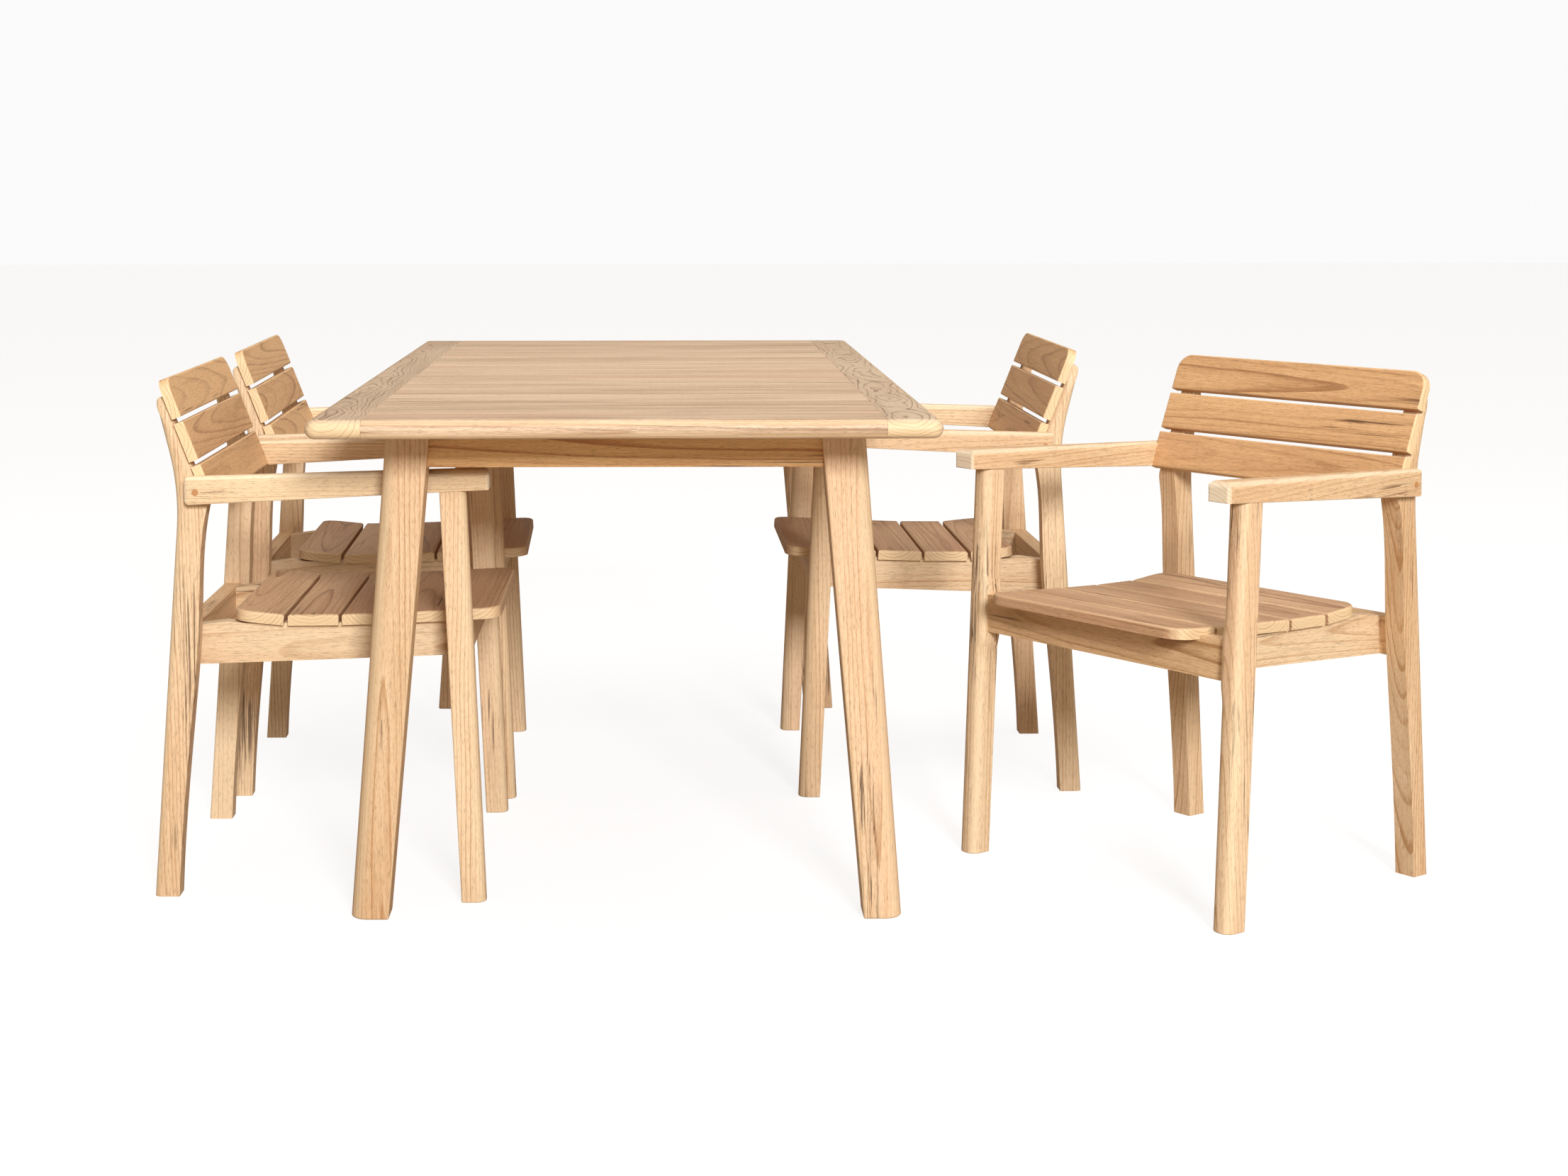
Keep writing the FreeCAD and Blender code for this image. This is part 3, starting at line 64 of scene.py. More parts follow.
# ---------------------------------------------------------------- shader maths
class Value:
    """A number socket that answers to the arithmetic operators by adding Math nodes."""

    def __init__(self, sheet: "NodeSheet", socket: bpy.types.NodeSocket) -> None:
        """Keep an output socket that carries a number, and the node sheet it is on."""
        self.sheet = sheet
        self.socket = socket

    def _math(self, operation: str, first: "Number", second: "Number") -> "Value":
        """Add one Math node over two numbers."""
        return self.sheet.value("ShaderNodeMath", {"operation": operation}, {0: first, 1: second})

    def __add__(self, other: "Number") -> "Value":
        """Sum."""
        return self._math("ADD", self, other)

    def __sub__(self, other: "Number") -> "Value":
        """Difference."""
        return self._math("SUBTRACT", self, other)

    def __rsub__(self, other: "Number") -> "Value":
        """Difference, reflected."""
        return self._math("SUBTRACT", other, self)

    def __mul__(self, other: "Number") -> "Value":
        """Product."""
        return self._math("MULTIPLY", self, other)

    def __truediv__(self, other: "Number") -> "Value":
        """Quotient."""
        return self._math("DIVIDE", self, other)

    def __gt__(self, other: "Number") -> "Value":
        """One where this value is the greater, else zero."""
        return self._math("GREATER_THAN", self, other)

    def __abs__(self) -> "Value":
        """Size without sign."""
        return self._math("ABSOLUTE", self, 0.0)

    def floor(self) -> "Value":
        """Largest whole number not above the value."""
        return self._math("FLOOR", self, 0.0)

    def fraction(self) -> "Value":
        """What is left above the whole number."""
        return self._math("FRACT", self, 0.0)

    def root(self) -> "Value":
        """Square root."""
        return self._math("SQRT", self, 0.0)

    def larger(self, other: "Number") -> "Value":
        """The larger of two values."""
        return self._math("MAXIMUM", self, other)

    def between(self, low: float, high: float) -> "Value":
        """Rise smoothly from 0 at low to 1 at high."""
        limits = {"Value": self, "From Min": low, "From Max": high, "To Min": 0.0, "To Max": 1.0}
        return self.sheet.value("ShaderNodeMapRange", {"interpolation_type": "SMOOTHSTEP"}, limits)

    def clamped(self) -> "Value":
        """The value kept between 0 and 1."""
        return self.sheet.value("ShaderNodeClamp", {}, {"Value": self, "Min": 0.0, "Max": 1.0})


Number = Union[Value, float]


class NodeSheet:
    """The node tree of one material, with one method that adds any node."""

    def __init__(self, name: str) -> None:
        """Make a material with an empty tree.

        Args:
            name: The material's name.
        """
        self.material = bpy.data.materials.new(name)
        self.material.use_nodes = True
        self.tree = self.material.node_tree
        self.tree.nodes.clear()

    def node(self, kind: str, settings: dict[str, Any], inputs: dict[Any, Any]) -> bpy.types.Node:
        """Add a node, choose its settings, then fill or link its sockets.

        Args:
            kind: Blender's type name of the node.
            settings: Properties that are set first.
            inputs: Socket name or number to a value, a Value or an output socket.

        Returns:
            The new node.
        """
        made = self.tree.nodes.new(kind)
        for key, setting in settings.items():
            setattr(made, key, setting)
        for key, given in inputs.items():
            socket = made.inputs[key]
            if isinstance(given, Value):
                self.tree.links.new(given.socket, socket)
            elif isinstance(given, bpy.types.NodeSocket):
                self.tree.links.new(given, socket)
            elif socket.type == "RGBA" and len(given) == 3:
                socket.default_value = (*given, 1.0)
            else:
                socket.default_value = given
        return made

    def value(self, kind: str, settings: dict[str, Any], inputs: dict[Any, Any], output: Any = 0) -> Value:
        """Add a node and wrap one of its outputs as a number."""
        return Value(self, self.node(kind, settings, inputs).outputs[output])

    def vector(self, x: Number, y: Number, z: Number) -> bpy.types.NodeSocket:
        """Join three numbers into a vector."""
        return self.node("ShaderNodeCombineXYZ", {}, {0: x, 1: y, 2: z}).outputs[0]

    def noise(self, place: bpy.types.NodeSocket, detail: float, roughness: float = PLAIN_ROUGHNESS,
              distortion: float = 0.0) -> Value:
        """Soft noise about 0.5 at a place already scaled to the size of its spots.

        Args:
            place: Where to read the noise.
            detail: How many finer layers are added.
            roughness: How strong the finer layers are.
            distortion: How far the spots are pulled out of shape.

        Returns:
            The noise, 0 to 1.
        """
        inputs = {"Vector": place, "Scale": 1.0, "Detail": detail, "Roughness": roughness,
                  "Distortion": distortion}
        return self.value("ShaderNodeTexNoise", {"noise_dimensions": "3D"}, inputs, "Fac")

    def chance(self, seed: Value) -> Value:
        """A random number from 0 to 1 for each value of a seed."""
        return self.value("ShaderNodeTexWhiteNoise", {"noise_dimensions": "1D"}, {"W": seed}, "Value")

    def blend(self, share: Number, first: Any, second: Any) -> bpy.types.NodeSocket:
        """Mix two colours.

        Args:
            share: How much of the second colour shows.
            first: A colour or a colour socket.
            second: A colour or a colour socket.

        Returns:
            The mixed colour.
        """
        settings = {"data_type": "RGBA", "blend_type": "MIX", "clamp_factor": True}
        mixed = self.node("ShaderNodeMix", settings, {0: share, COLOUR_A: first, COLOUR_B: second})
        return mixed.outputs[COLOUR_RESULT]

    def finish(self, colour: Any, roughness: Number, metallic: float, specular: float, coat: float,
               height: Value, depth: float) -> bpy.types.Material:
        """Close the tree with a Principled shader.

        Args:
            colour: Base colour.
            roughness: Surface roughness.
            metallic: 1 for metal.
            specular: Strength of the plain reflection.
            coat: Weight of the thin oil film.
            height: Height of the fine relief.
            depth: Depth in metres of a relief of height 1.

        Returns:
            The finished material.
        """
        inputs = {"Base Color": colour, "Roughness": roughness, "Metallic": metallic,
                  "Specular IOR Level": specular, "Coat Weight": coat, "Coat Roughness": COAT_ROUGHNESS}
        relief = self.node("ShaderNodeBump", {}, {"Strength": 1.0, "Distance": depth, "Height": height})
        inputs["Normal"] = relief.outputs["Normal"]
        shader = self.node("ShaderNodeBsdfPrincipled", {}, inputs)
        self.node("ShaderNodeOutputMaterial", {}, {"Surface": shader.outputs["BSDF"]})
        return self.material


# ---------------------------------------------------------------- wood
class Figure(Enum):
    """How a board was cut from the log, which sets the drawing on its face."""

    QUARTER = "quarter"
    CROWN = "crown"
    WILD = "wild"


@dataclass(frozen=True)
class Cut:
    """The growth rings that one figure shows, in metres.

    Attributes:
        pith_below: Least and greatest distance of the log's pith below the face.
        pith_aside: Greatest distance of the pith to either side.
        taper: How fast the rings open along the board.
        wander: How far the rings stray.
        wander_along: Strays per metre along the board.
        wander_across: Strays per metre across the board.
        rings: Rings per metre.
    """

    pith_below: tuple[float, float]
    pith_aside: float
    taper: float
    wander: float
    wander_along: float
    wander_across: float
    rings: float


CUTS: dict[Figure, Cut] = {
    Figure.QUARTER: Cut((0.02, 0.05), 0.30, 0.012, 0.0050, 1.3, 7.0, 250.0),
    Figure.CROWN: Cut((0.030, 0.070), 0.022, 0.046, 0.0080, 1.9, 9.0, 175.0),
    Figure.WILD: Cut((0.030, 0.060), 0.035, 0.030, 0.0240, 4.4, 11.0, 170.0),
}


class Draw(Enum):
    """The random choices of one board. Each reads the board's number, times a factor, plus an offset."""

    PITH_ASIDE = (1.7, 3.1)
    PITH_BELOW = (2.3, 8.7)
    TAPER = (3.1, 1.9)
    RING_PLACE = (0.9, 5.3)
    GRAIN_PLACE = (1.3, 2.9)
    TONE = (4.1, 6.7)
    STREAKS = (5.9, 0.7)


@dataclass(frozen=True)
class Layer:
    """Noise that is drawn out along the grain.

    Attributes:
        along: Spots per metre along the grain.
        across: Spots per metre across it.
        detail: How many finer layers are added.
        roughness: How strong the finer layers are.
        distortion: How far the spots are pulled out of shape.
    """

    along: float
    across: float
    detail: float
    roughness: float = PLAIN_ROUGHNESS
    distortion: float = 0.0


FINE_FIBRES = Layer(30.0, 950.0, 2.0, 0.6)
PATCHES = Layer(1.6, 11.0, 2.0)
ROSY_PATCHES = Layer(1.1, 7.0, 1.0)
PORES = Layer(85.0, 1500.0, 1.0)
STREAK_LINES = Layer(3.4, 260.0, 3.0, 0.7, 0.8)
STREAK_BANDS = Layer(2.2, 70.0, 2.0)
STREAK_GATE = Layer(3.1, 22.0, 2.0)


@dataclass(frozen=True)
class Teak:
    """One look of teak.

    Attributes:
        name: The finish's name.
        pale: Colour between the rings.
        warm: Colour of the rings and of darker boards.
        rose: Colour of the patches that lean to pink.
        streak: Colour of the dark mineral streaks.
        end: Colour of the end grain, and of the pale rounded edges, which are partly wear and partly a
            painted highlight.
        figure: How the boards were cut.
        ring_depth: How strongly the late wood of each ring leans to the warm colour.
        shade_depth: How strongly the rest of each ring does.
        line_depth: How dark the late wood's line is.
        fibres: Fibre bundles per metre, across the grain.
        fibre_depth: How strongly the fibres show.
        fine_depth: How strongly the finest fibres show.
        patch_depth: How strongly broad patches show.
        pore_depth: How dark the pores are.
        board_depth: How much boards differ.
        middle_tone: Share of the warm colour where nothing else adds to it.
        streaks: Share of dark streaks, 0 to 1.
        roughness: Middle roughness.
        coat: Weight of the oil film.
    """

    name: str
    pale: Colour
    warm: Colour
    rose: Colour
    streak: Colour
    end: Colour
    figure: Figure
    ring_depth: float = 0.50
    shade_depth: float = 0.22
    line_depth: float = 0.16
    fibres: float = 210.0
    fibre_depth: float = 0.95
    fine_depth: float = 0.9
    patch_depth: float = 1.2
    pore_depth: float = 0.34
    board_depth: float = 0.40
    middle_tone: float = 0.16
    streaks: float = 0.35
    roughness: float = 0.50
    coat: float = 0.06


@dataclass(frozen=True)
class BoardFrame:
    """Where a group of boards lies: along their length, across their width and through their thickness.

    Attributes:
        origin: A point in the row frame, in metres.
        along: Unit direction of the grain.
        across: Unit direction over the boards' width.
        start: Where the first board begins, measured across.
        pitch: Distance from board to board across, or 0 for a piece that stands alone.
        aside_across: Distance of paired pieces from the origin, measured across, or 0.
        aside_through: Distance of paired pieces from the origin, measured through, or 0.
        seed: A number that sets this group's random choices.
    """

    origin: Vector
    along: Vector
    across: Vector
    start: float = 0.0
    pitch: float = 0.0
    aside_across: float = 0.0
    aside_through: float = 0.0
    seed: float = 0.0

    def turn(self) -> Matrix:
        """The rotation from the row frame to along, across and through."""
        through = self.along.cross(self.across)
        return Matrix((self.along, self.across, through))

    def mapped(self, sheet: NodeSheet, source: str, kind: str) -> tuple[Value, Value, Value]:
        """Read a texture coordinate in this frame.

        Args:
            sheet: The node sheet.
            source: "Object" for places or "Normal" for directions.
            kind: The Mapping node's vector type.

        Returns:
            The parts along, across and through.
        """
        coordinates = sheet.node("ShaderNodeTexCoord", {}, {}).outputs[source]
        turn = self.turn()
        inputs: dict[str, Any] = {"Vector": coordinates, "Rotation": turn.to_euler("XYZ")}
        if kind == "POINT":
            inputs["Location"] = -(turn @ self.origin)
        placed = sheet.node("ShaderNodeMapping", {"vector_type": kind}, inputs).outputs[0]
        parts = sheet.node("ShaderNodeSeparateXYZ", {}, {0: placed}).outputs
        return tuple(Value(sheet, part) for part in parts)


class TeakShader:
    """Builds the material of one group of boards from a look and a board frame.

    Attributes:
        FIBRE_ALONG: Fibre bundles per metre along the grain.
        FIBRE_DETAIL: How many finer layers the fibres have, and how strong these are.
        GRAIN_SHIFT: How far one board's noise may lie from the next one's, in spots.
        RING_SHIFT: The same for the rings' strays.
        GRAIN_BEND: How far the fibres follow the rings' strays, in metres.
        ASIDE_STEP: What a paired piece on the far side adds to the board's number.
        THROUGH_STEP: The same for a paired piece behind.
        RING_STEP: What keeps one board's rings from having the next one's strengths.
        FAINTEST_RING: Strength of the faintest ring beside the strongest.
        SHADE_RISE: Share of a ring over which its shade grows.
        LINE_RISE: Share of a ring over which its late wood's line grows.
        RING_END: Share of a ring over which both end.
        ROSE_RISE: Noise over which the rosy patches grow.
        ROSE_SHARE: How much of them shows.
        PORE_RISE: Noise over which a pore darkens.
        PORE_CUT: Noise over which a pore cuts into the surface.
        RELIEF: Depth in metres of a relief of height 1.
        SPECULAR: Strength of the plain reflection.
        ROUGH_FIBRES: How much the fibres change the roughness.
        SMOOTH_RINGS: How much smoother the late wood is.
        HIGH_FIBRES: Share of the fibres in the relief.
        HIGH_FINE: Share of the finest fibres in it.
        DEEP_PORES: How deep the pores are in it.
        DEEP_RINGS: How deep the late wood is in it.
        LUCK_SHARE: How much a board's luck opens it to dark streaks.
        GATE_EASE: How much a look's share of streaks opens the gate.
        GATE_RISE: Noise over which the gate opens.
        THIN_RISE: Noise over which a thin streak darkens.
        THIN_SHARE: How dark it gets.
        BAND_RISE: Noise over which a broad streak darkens.
        BAND_SHARE: How dark it gets.
        WORN_RISE: Slant of the surface over which an edge counts as worn and gets its painted highlight.
        WORN_FINE: How much the finest fibres keep of the wear and painted highlight.
        WORN_SHARE: How much shows everywhere.
        END_RISE: Slant of the surface over which it turns into end grain.
        END_RINGS: How dark the rings are in the end grain.
        END_FINE: How dark the finest fibres are in it.
        END_FINE_MIDDLE: The noise of a fibre that leaves it as it is.
    """

    FIBRE_ALONG = 3.0
    FIBRE_DETAIL = (4.0, 0.66)
    GRAIN_SHIFT = 17.0
    RING_SHIFT = 9.0
    GRAIN_BEND = 0.006
    ASIDE_STEP, THROUGH_STEP, RING_STEP = 11.0, 23.0, 7.0
    FAINTEST_RING = 0.20
    SHADE_RISE, LINE_RISE, RING_END = (0.10, 0.95), (0.66, 0.90), (0.94, 1.0)
    ROSE_RISE, ROSE_SHARE = (0.48, 0.72), 0.55
    PORE_RISE, PORE_CUT = (0.56, 0.70), (0.58, 0.72)
    RELIEF = 0.00045
    SPECULAR = 0.38
    ROUGH_FIBRES, SMOOTH_RINGS = 0.20, 0.06
    HIGH_FIBRES, HIGH_FINE, DEEP_PORES, DEEP_RINGS = 0.5, 0.35, 0.35, 0.10
    LUCK_SHARE, GATE_EASE, GATE_RISE = 0.16, 0.20, (0.76, 0.84)
    THIN_RISE, THIN_SHARE = (0.54, 0.60), 0.74
    BAND_RISE, BAND_SHARE = (0.50, 0.66), 0.14
    # Pale rounded edges: partly wear, partly a painted highlight along each rounded edge.
    WORN_RISE, WORN_FINE, WORN_SHARE = (0.02, 0.16), 0.6, 0.10
    END_RISE, END_RINGS, END_FINE, END_FINE_MIDDLE = (0.62, 0.88), 0.55, 0.6, 0.35

    def __init__(self, look: Teak, boards: BoardFrame, name: str) -> None:
        """Keep the look and start a sheet.

        Args:
            look: The look of the wood.
            boards: Where the boards lie.
            name: The material's name.
        """
        self.look = look
        self.boards = boards
        self.sheet = NodeSheet(name)

    def _cell(self, across: Value, through: Value) -> tuple[Value, Value, Value]:
        """Number each board and measure from its own middle.

        Args:
            across: Place across the group.
            through: Place through the group.

        Returns:
            The board's number, and the places across and through from the board's middle.
        """
        boards = self.boards
        number: Value = across * 0.0 + boards.seed
        if boards.pitch:
            index = ((across - boards.start) / boards.pitch).floor()
            number = number + index
            across = across - boards.start - (index + 0.5) * boards.pitch
        if boards.aside_across:
            side = across > 0.0
            number = number + side * self.ASIDE_STEP
            across = across - (side * 2.0 - 1.0) * boards.aside_across
        if boards.aside_through:
            side = through > 0.0
            number = number + side * self.THROUGH_STEP
            through = through - (side * 2.0 - 1.0) * boards.aside_through
        return number, across, through

    def _draw(self, number: Value, draw: Draw) -> Value:
        """One random choice, 0 to 1, for each board's number."""
        factor, offset = draw.value
        return self.sheet.chance(number * factor + offset)

    def _noise(self, layer: Layer, along: Value, across: Value, through: Value, shift: Value) -> Value:
        """Read a layer of noise at a place in the board, moved along it by a shift counted in spots."""
        place = self.sheet.vector(along * layer.along + shift, across * layer.across, through * layer.across)
        return self.sheet.noise(place, layer.detail, layer.roughness, layer.distortion)

    def _rings(self, along: Value, across: Value, through: Value,
               number: Value) -> tuple[Value, Value, Value]:
        """Growth rings: the distance from the pith, opened along the board and bent by soft noise.

        Args:
            along: Place along the board.
            across: Place from the board's middle, across.
            through: Place from the board's middle, through.
            number: The board's number.

        Returns:
            The thin dark line of the late wood, the soft shade of the ring, and how far the rings stray.
        """
        cut = CUTS[self.look.figure]
        nearest, farthest = cut.pith_below
        aside = (self._draw(number, Draw.PITH_ASIDE) - 0.5) * (2.0 * cut.pith_aside)
        below = self._draw(number, Draw.PITH_BELOW) * (farthest - nearest) + nearest
        slope = (self._draw(number, Draw.TAPER) - 0.5) * (2.0 * cut.taper)
        shift = self._draw(number, Draw.RING_PLACE) * self.RING_SHIFT
        strays = Layer(cut.wander_along, cut.wander_across, 2.0)
        stray = self._noise(strays, along, across, through, shift) - 0.5
        sideways, down = across - aside, through + below
        radius = (sideways * sideways + down * down).root() + along * slope + stray * (2.0 * cut.wander)
        count = radius * cut.rings
        part = count.fraction()
        strength = (self.sheet.chance(count.floor() + number * self.RING_STEP) * (1.0 - self.FAINTEST_RING)
                    + self.FAINTEST_RING)
        shade = part.between(*self.SHADE_RISE) * (1.0 - part.between(*self.RING_END))
        line = part.between(*self.LINE_RISE) * (1.0 - part.between(*self.RING_END))
        return line * strength, shade * strength, stray

    def build(self) -> bpy.types.Material:
        """Join rings, fibres, pores, mineral streaks, worn edges and end grain into one material.

        Returns:
            The finished material.
        """
        sheet, look = self.sheet, self.look
        along, across, through = self.boards.mapped(sheet, "Object", "POINT")
        number, across, through = self._cell(across, through)
        shift = self._draw(number, Draw.GRAIN_PLACE) * self.GRAIN_SHIFT
        rings, shade, stray = self._rings(along, across, through, number)
        bent_across, bent_through = across + stray * self.GRAIN_BEND, through + stray * self.GRAIN_BEND
        fibres = Layer(self.FIBRE_ALONG, look.fibres, *self.FIBRE_DETAIL)
        fibre = self._noise(fibres, along, bent_across, bent_through, shift)
        fine = self._noise(FINE_FIBRES, along, bent_across, bent_through, shift)
        patch = self._noise(PATCHES, along, across, through, shift)
        rosy = self._noise(ROSY_PATCHES, along, across, through, shift * -1.0)
        pores = self._noise(PORES, along, across, through, shift)
        board = self._draw(number, Draw.TONE) - 0.5
        tone = (shade * look.shade_depth + rings * look.ring_depth + (fibre - 0.5) * look.fibre_depth
                + (patch - 0.5) * look.patch_depth + (fine - 0.5) * look.fine_depth
                + board * look.board_depth + look.middle_tone)
        streaks = self._streaks(along, bent_across, bent_through, shift, number)
        colour = sheet.blend(tone.clamped(), look.pale, look.warm)
        colour = sheet.blend(rosy.between(*self.ROSE_RISE) * self.ROSE_SHARE, colour, look.rose)
        colour = sheet.blend(rings * look.line_depth, colour, look.streak)
        colour = sheet.blend(streaks, colour, look.streak)
        colour = sheet.blend(pores.between(*self.PORE_RISE) * look.pore_depth, colour, look.streak)
        colour = self._edges_and_ends(colour, rings, fine)
        roughness = (fibre - 0.5) * self.ROUGH_FIBRES + (look.roughness - rings * self.SMOOTH_RINGS)
        height = (fibre * self.HIGH_FIBRES + fine * self.HIGH_FINE
                  - pores.between(*self.PORE_CUT) * self.DEEP_PORES - rings * self.DEEP_RINGS)
        return sheet.finish(colour, roughness, metallic=0.0, specular=self.SPECULAR, coat=look.coat,
                            height=height, depth=self.RELIEF)

    def _streaks(self, along: Value, across: Value, through: Value, shift: Value, number: Value) -> Value:
        """Dark mineral streaks: long thin noise, let through on some boards and some stretches only.

        Args:
            along: Place along the board.
            across: Place across it, bent with the rings.
            through: Place through it, bent with the rings.
            shift: How far the board's noise is moved along.
            number: The board's number.

        Returns:
            How dark the streaks are, 0 to 1.
        """
        thin = self._noise(STREAK_LINES, along, across, through, shift)
        band = self._noise(STREAK_BANDS, along, across, through, shift)
        gate = self._noise(STREAK_GATE, along, across, through, shift * -1.0)
        luck = self._draw(number, Draw.STREAKS) * self.LUCK_SHARE
        eased = self.GATE_EASE * self.look.streaks
        allowed = (gate + luck).between(self.GATE_RISE[0] - eased, self.GATE_RISE[1] - eased)
        lines = (thin.between(*self.THIN_RISE) * self.THIN_SHARE
                 + band.between(*self.BAND_RISE) * self.BAND_SHARE)
        return (lines * allowed).clamped()

    def _edges_and_ends(self, colour: bpy.types.NodeSocket, rings: Value,
                        fine: Value) -> bpy.types.NodeSocket:
        """Pale rounded edges, partly worn where sanding and hands wear the oil off and partly a painted
        highlight, and open cream end grain.

        Args:
            colour: Colour of the board's faces.
            rings: The late wood's lines.
            fine: The finest fibres.

        Returns:
            The colour of the whole board.
        """
        sheet, look = self.sheet, self.look
        n_along, n_across, n_through = self.boards.mapped(sheet, "Normal", "NORMAL")
        square = abs(n_along).larger(abs(n_across)).larger(abs(n_through))
        # Rounded edges turn paler: partly wear, partly a painted highlight along the edge.
        wear_and_highlight = (1.0 - square).between(*self.WORN_RISE) * (fine * self.WORN_FINE + self.WORN_SHARE)
        colour = sheet.blend(wear_and_highlight, colour, look.end)
        facing_end = abs(n_along).between(*self.END_RISE)
        darker = (rings * self.END_RINGS + (fine - self.END_FINE_MIDDLE) * self.END_FINE).clamped()
        end = sheet.blend(darker, look.end, look.warm)
        return sheet.blend(facing_end, colour, end)


HONEY = Teak("honey", linear(235, 206, 169), linear(194, 147, 100), linear(227, 182, 143), linear(76, 50, 32),
             linear(240, 216, 178), Figure.CROWN, line_depth=0.11, fibre_depth=0.72,
             streaks=0.58)
SIDE_RAIL = Teak("side rail", linear(231, 204, 168), linear(195, 150, 104), linear(223, 183, 144),
                 linear(80, 54, 34), linear(240, 216, 178), Figure.CROWN, line_depth=0.11, fibre_depth=0.80,
                 streaks=0.55)
CROSS_RAIL = Teak("cross rail", linear(240, 205, 161), linear(186, 140, 94), linear(225, 182, 136),
                  linear(92, 62, 38), linear(240, 214, 172), Figure.CROWN, streaks=0.40)
ARM = Teak("arm", linear(234, 206, 167), linear(196, 153, 109), linear(225, 184, 144), linear(104, 70, 44),
           linear(244, 229, 203), Figure.CROWN, line_depth=0.10, streaks=0.26)
PLUG = Teak("plug", linear(210, 158, 106), linear(160, 106, 64), linear(196, 140, 94), linear(92, 58, 36),
            linear(196, 142, 92), Figure.QUARTER, streaks=0.0)
TAN = Teak("tan", linear(230, 186, 136), linear(178, 127, 82), linear(216, 164, 121), linear(84, 52, 32),
           linear(240, 214, 170), Figure.CROWN, ring_depth=0.36, line_depth=0.20, fibres=260.0,
           fine_depth=1.2, streaks=0.20, board_depth=0.42)
SEAT = Teak("seat", linear(212, 174, 137), linear(154, 107, 70), linear(193, 145, 111), linear(76, 48, 30),
            linear(232, 204, 162), Figure.CROWN, ring_depth=0.36, line_depth=0.18, fibres=260.0, streaks=0.22,
            board_depth=0.42)
TOP = Teak("top", linear(230, 203, 173), linear(173, 139, 107), linear(214, 175, 144), linear(116, 84, 58),
           linear(240, 206, 162), Figure.QUARTER, line_depth=0.12, fibres=110.0, fibre_depth=3.0,
           fine_depth=1.0, board_depth=0.50, streaks=0.34, roughness=0.46)
TOP_SIDE = Teak("top side", linear(218, 193, 164), linear(160, 128, 99), linear(204, 170, 142),
                linear(104, 76, 54), linear(240, 210, 168), Figure.WILD, ring_depth=0.60, line_depth=0.48,
                fibre_depth=0.8, streaks=0.16, roughness=0.46)
FRAME_WOOD = Teak("frame", linear(246, 203, 143), linear(200, 135, 80), linear(238, 176, 120),
                  linear(84, 52, 28), linear(236, 206, 156), Figure.CROWN, streaks=0.30)


@dataclass(frozen=True)
class Zinc:
    """Zinc-plated steel with a faint dull mottling.

    Attributes:
        bright: Colour of the clean plating.
        dull: Colour of the duller patches.
        spots: Patches per metre.
        detail: How many finer layers the patches have.
        roughness: Roughness of the brightest plating.
        rough_share: How much rougher the dullest is.
        relief: Depth in metres of the mottling.
    """

    bright: Colour = (0.60, 0.60, 0.58)
    dull: Colour = (0.42, 0.42, 0.42)
    spots: float = 420.0
    detail: float = 3.0
    roughness: float = 0.28
    rough_share: float = 0.25
    relief: float = 0.0001

    def build(self) -> bpy.types.Material:
        """Mottled metal.

        Returns:
            The material.
        """
        sheet = NodeSheet("zinc plated steel")
        place = sheet.node("ShaderNodeTexCoord", {}, {}).outputs["Object"]
        scaled = {"Vector": place, "Scale": self.spots}
        spot = sheet.node("ShaderNodeVectorMath", {"operation": "SCALE"}, scaled)
        mottle = sheet.noise(spot.outputs[0], self.detail)
        colour = sheet.blend(mottle, self.bright, self.dull)
        roughness = mottle * self.rough_share + self.roughness
        return sheet.finish(colour, roughness, metallic=1.0, specular=0.5, coat=0.0, height=mottle,
                            depth=self.relief)


def dress(node: str, material: bpy.types.Material) -> None:
    """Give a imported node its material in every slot.

    Args:
        node: The node's name.
        material: The material it gets.
    """
    mesh = frame["nodes"][node].data
    if not mesh.materials:
        mesh.materials.append(material)
    for index in range(len(mesh.materials)):
        mesh.materials[index] = material
    LOG.info("dressed %s in %s", node, material.name)


def middle(node: str) -> Vector:
    """The middle of a node's box.

    Args:
        node: The node's name.

    Returns:
        The middle, in the row frame.
    """
    low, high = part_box(node)
    return (Vector(low) + Vector(high)) / 2.0


# ---------------------------------------------------------------- furniture
class Part(Enum):
    """The groups of boards that share a material: the word in its name, and what sets its wood apart."""

    CHAIR_LEGS = ("legs", 1.0)
    ARMS = ("arms", 2.0)
    CROSS_RAILS = ("cross rails", 3.0)
    SIDE_RAILS = ("side rails", 4.0)
    SEAT_SLATS = ("seat slats", 5.0)
    BACK_SLATS = ("back slats", 6.0)
    DOWELS = ("dowels", 7.0)
    CROSS_BOARDS = ("cross boards", 1.0)
    SIDE_BOARDS = ("side boards", 2.0)
    TABLE_LEGS = ("legs", 3.0)
    END_APRONS = ("end aprons", 4.0)
    SIDE_APRONS = ("side aprons", 5.0)


def paint(body: str, part: Part, look: Teak, boards: BoardFrame, nodes: tuple[str, ...]) -> None:
    """Build one material and dress nodes of one body in it.

    Args:
        body: The body's name, which all its nodes begin with.
        part: The group of boards.
        look: The look of the wood.
        boards: Where the boards lie; its seed is the body's own, and the part's is added to it.
        nodes: Node names without the body's name.
    """
    word, step = part.value
    material = TeakShader(look, replace(boards, seed=boards.seed + step), f"{body} {word}").build()
    for node in nodes:
        dress(f"{body}_{node}", material)


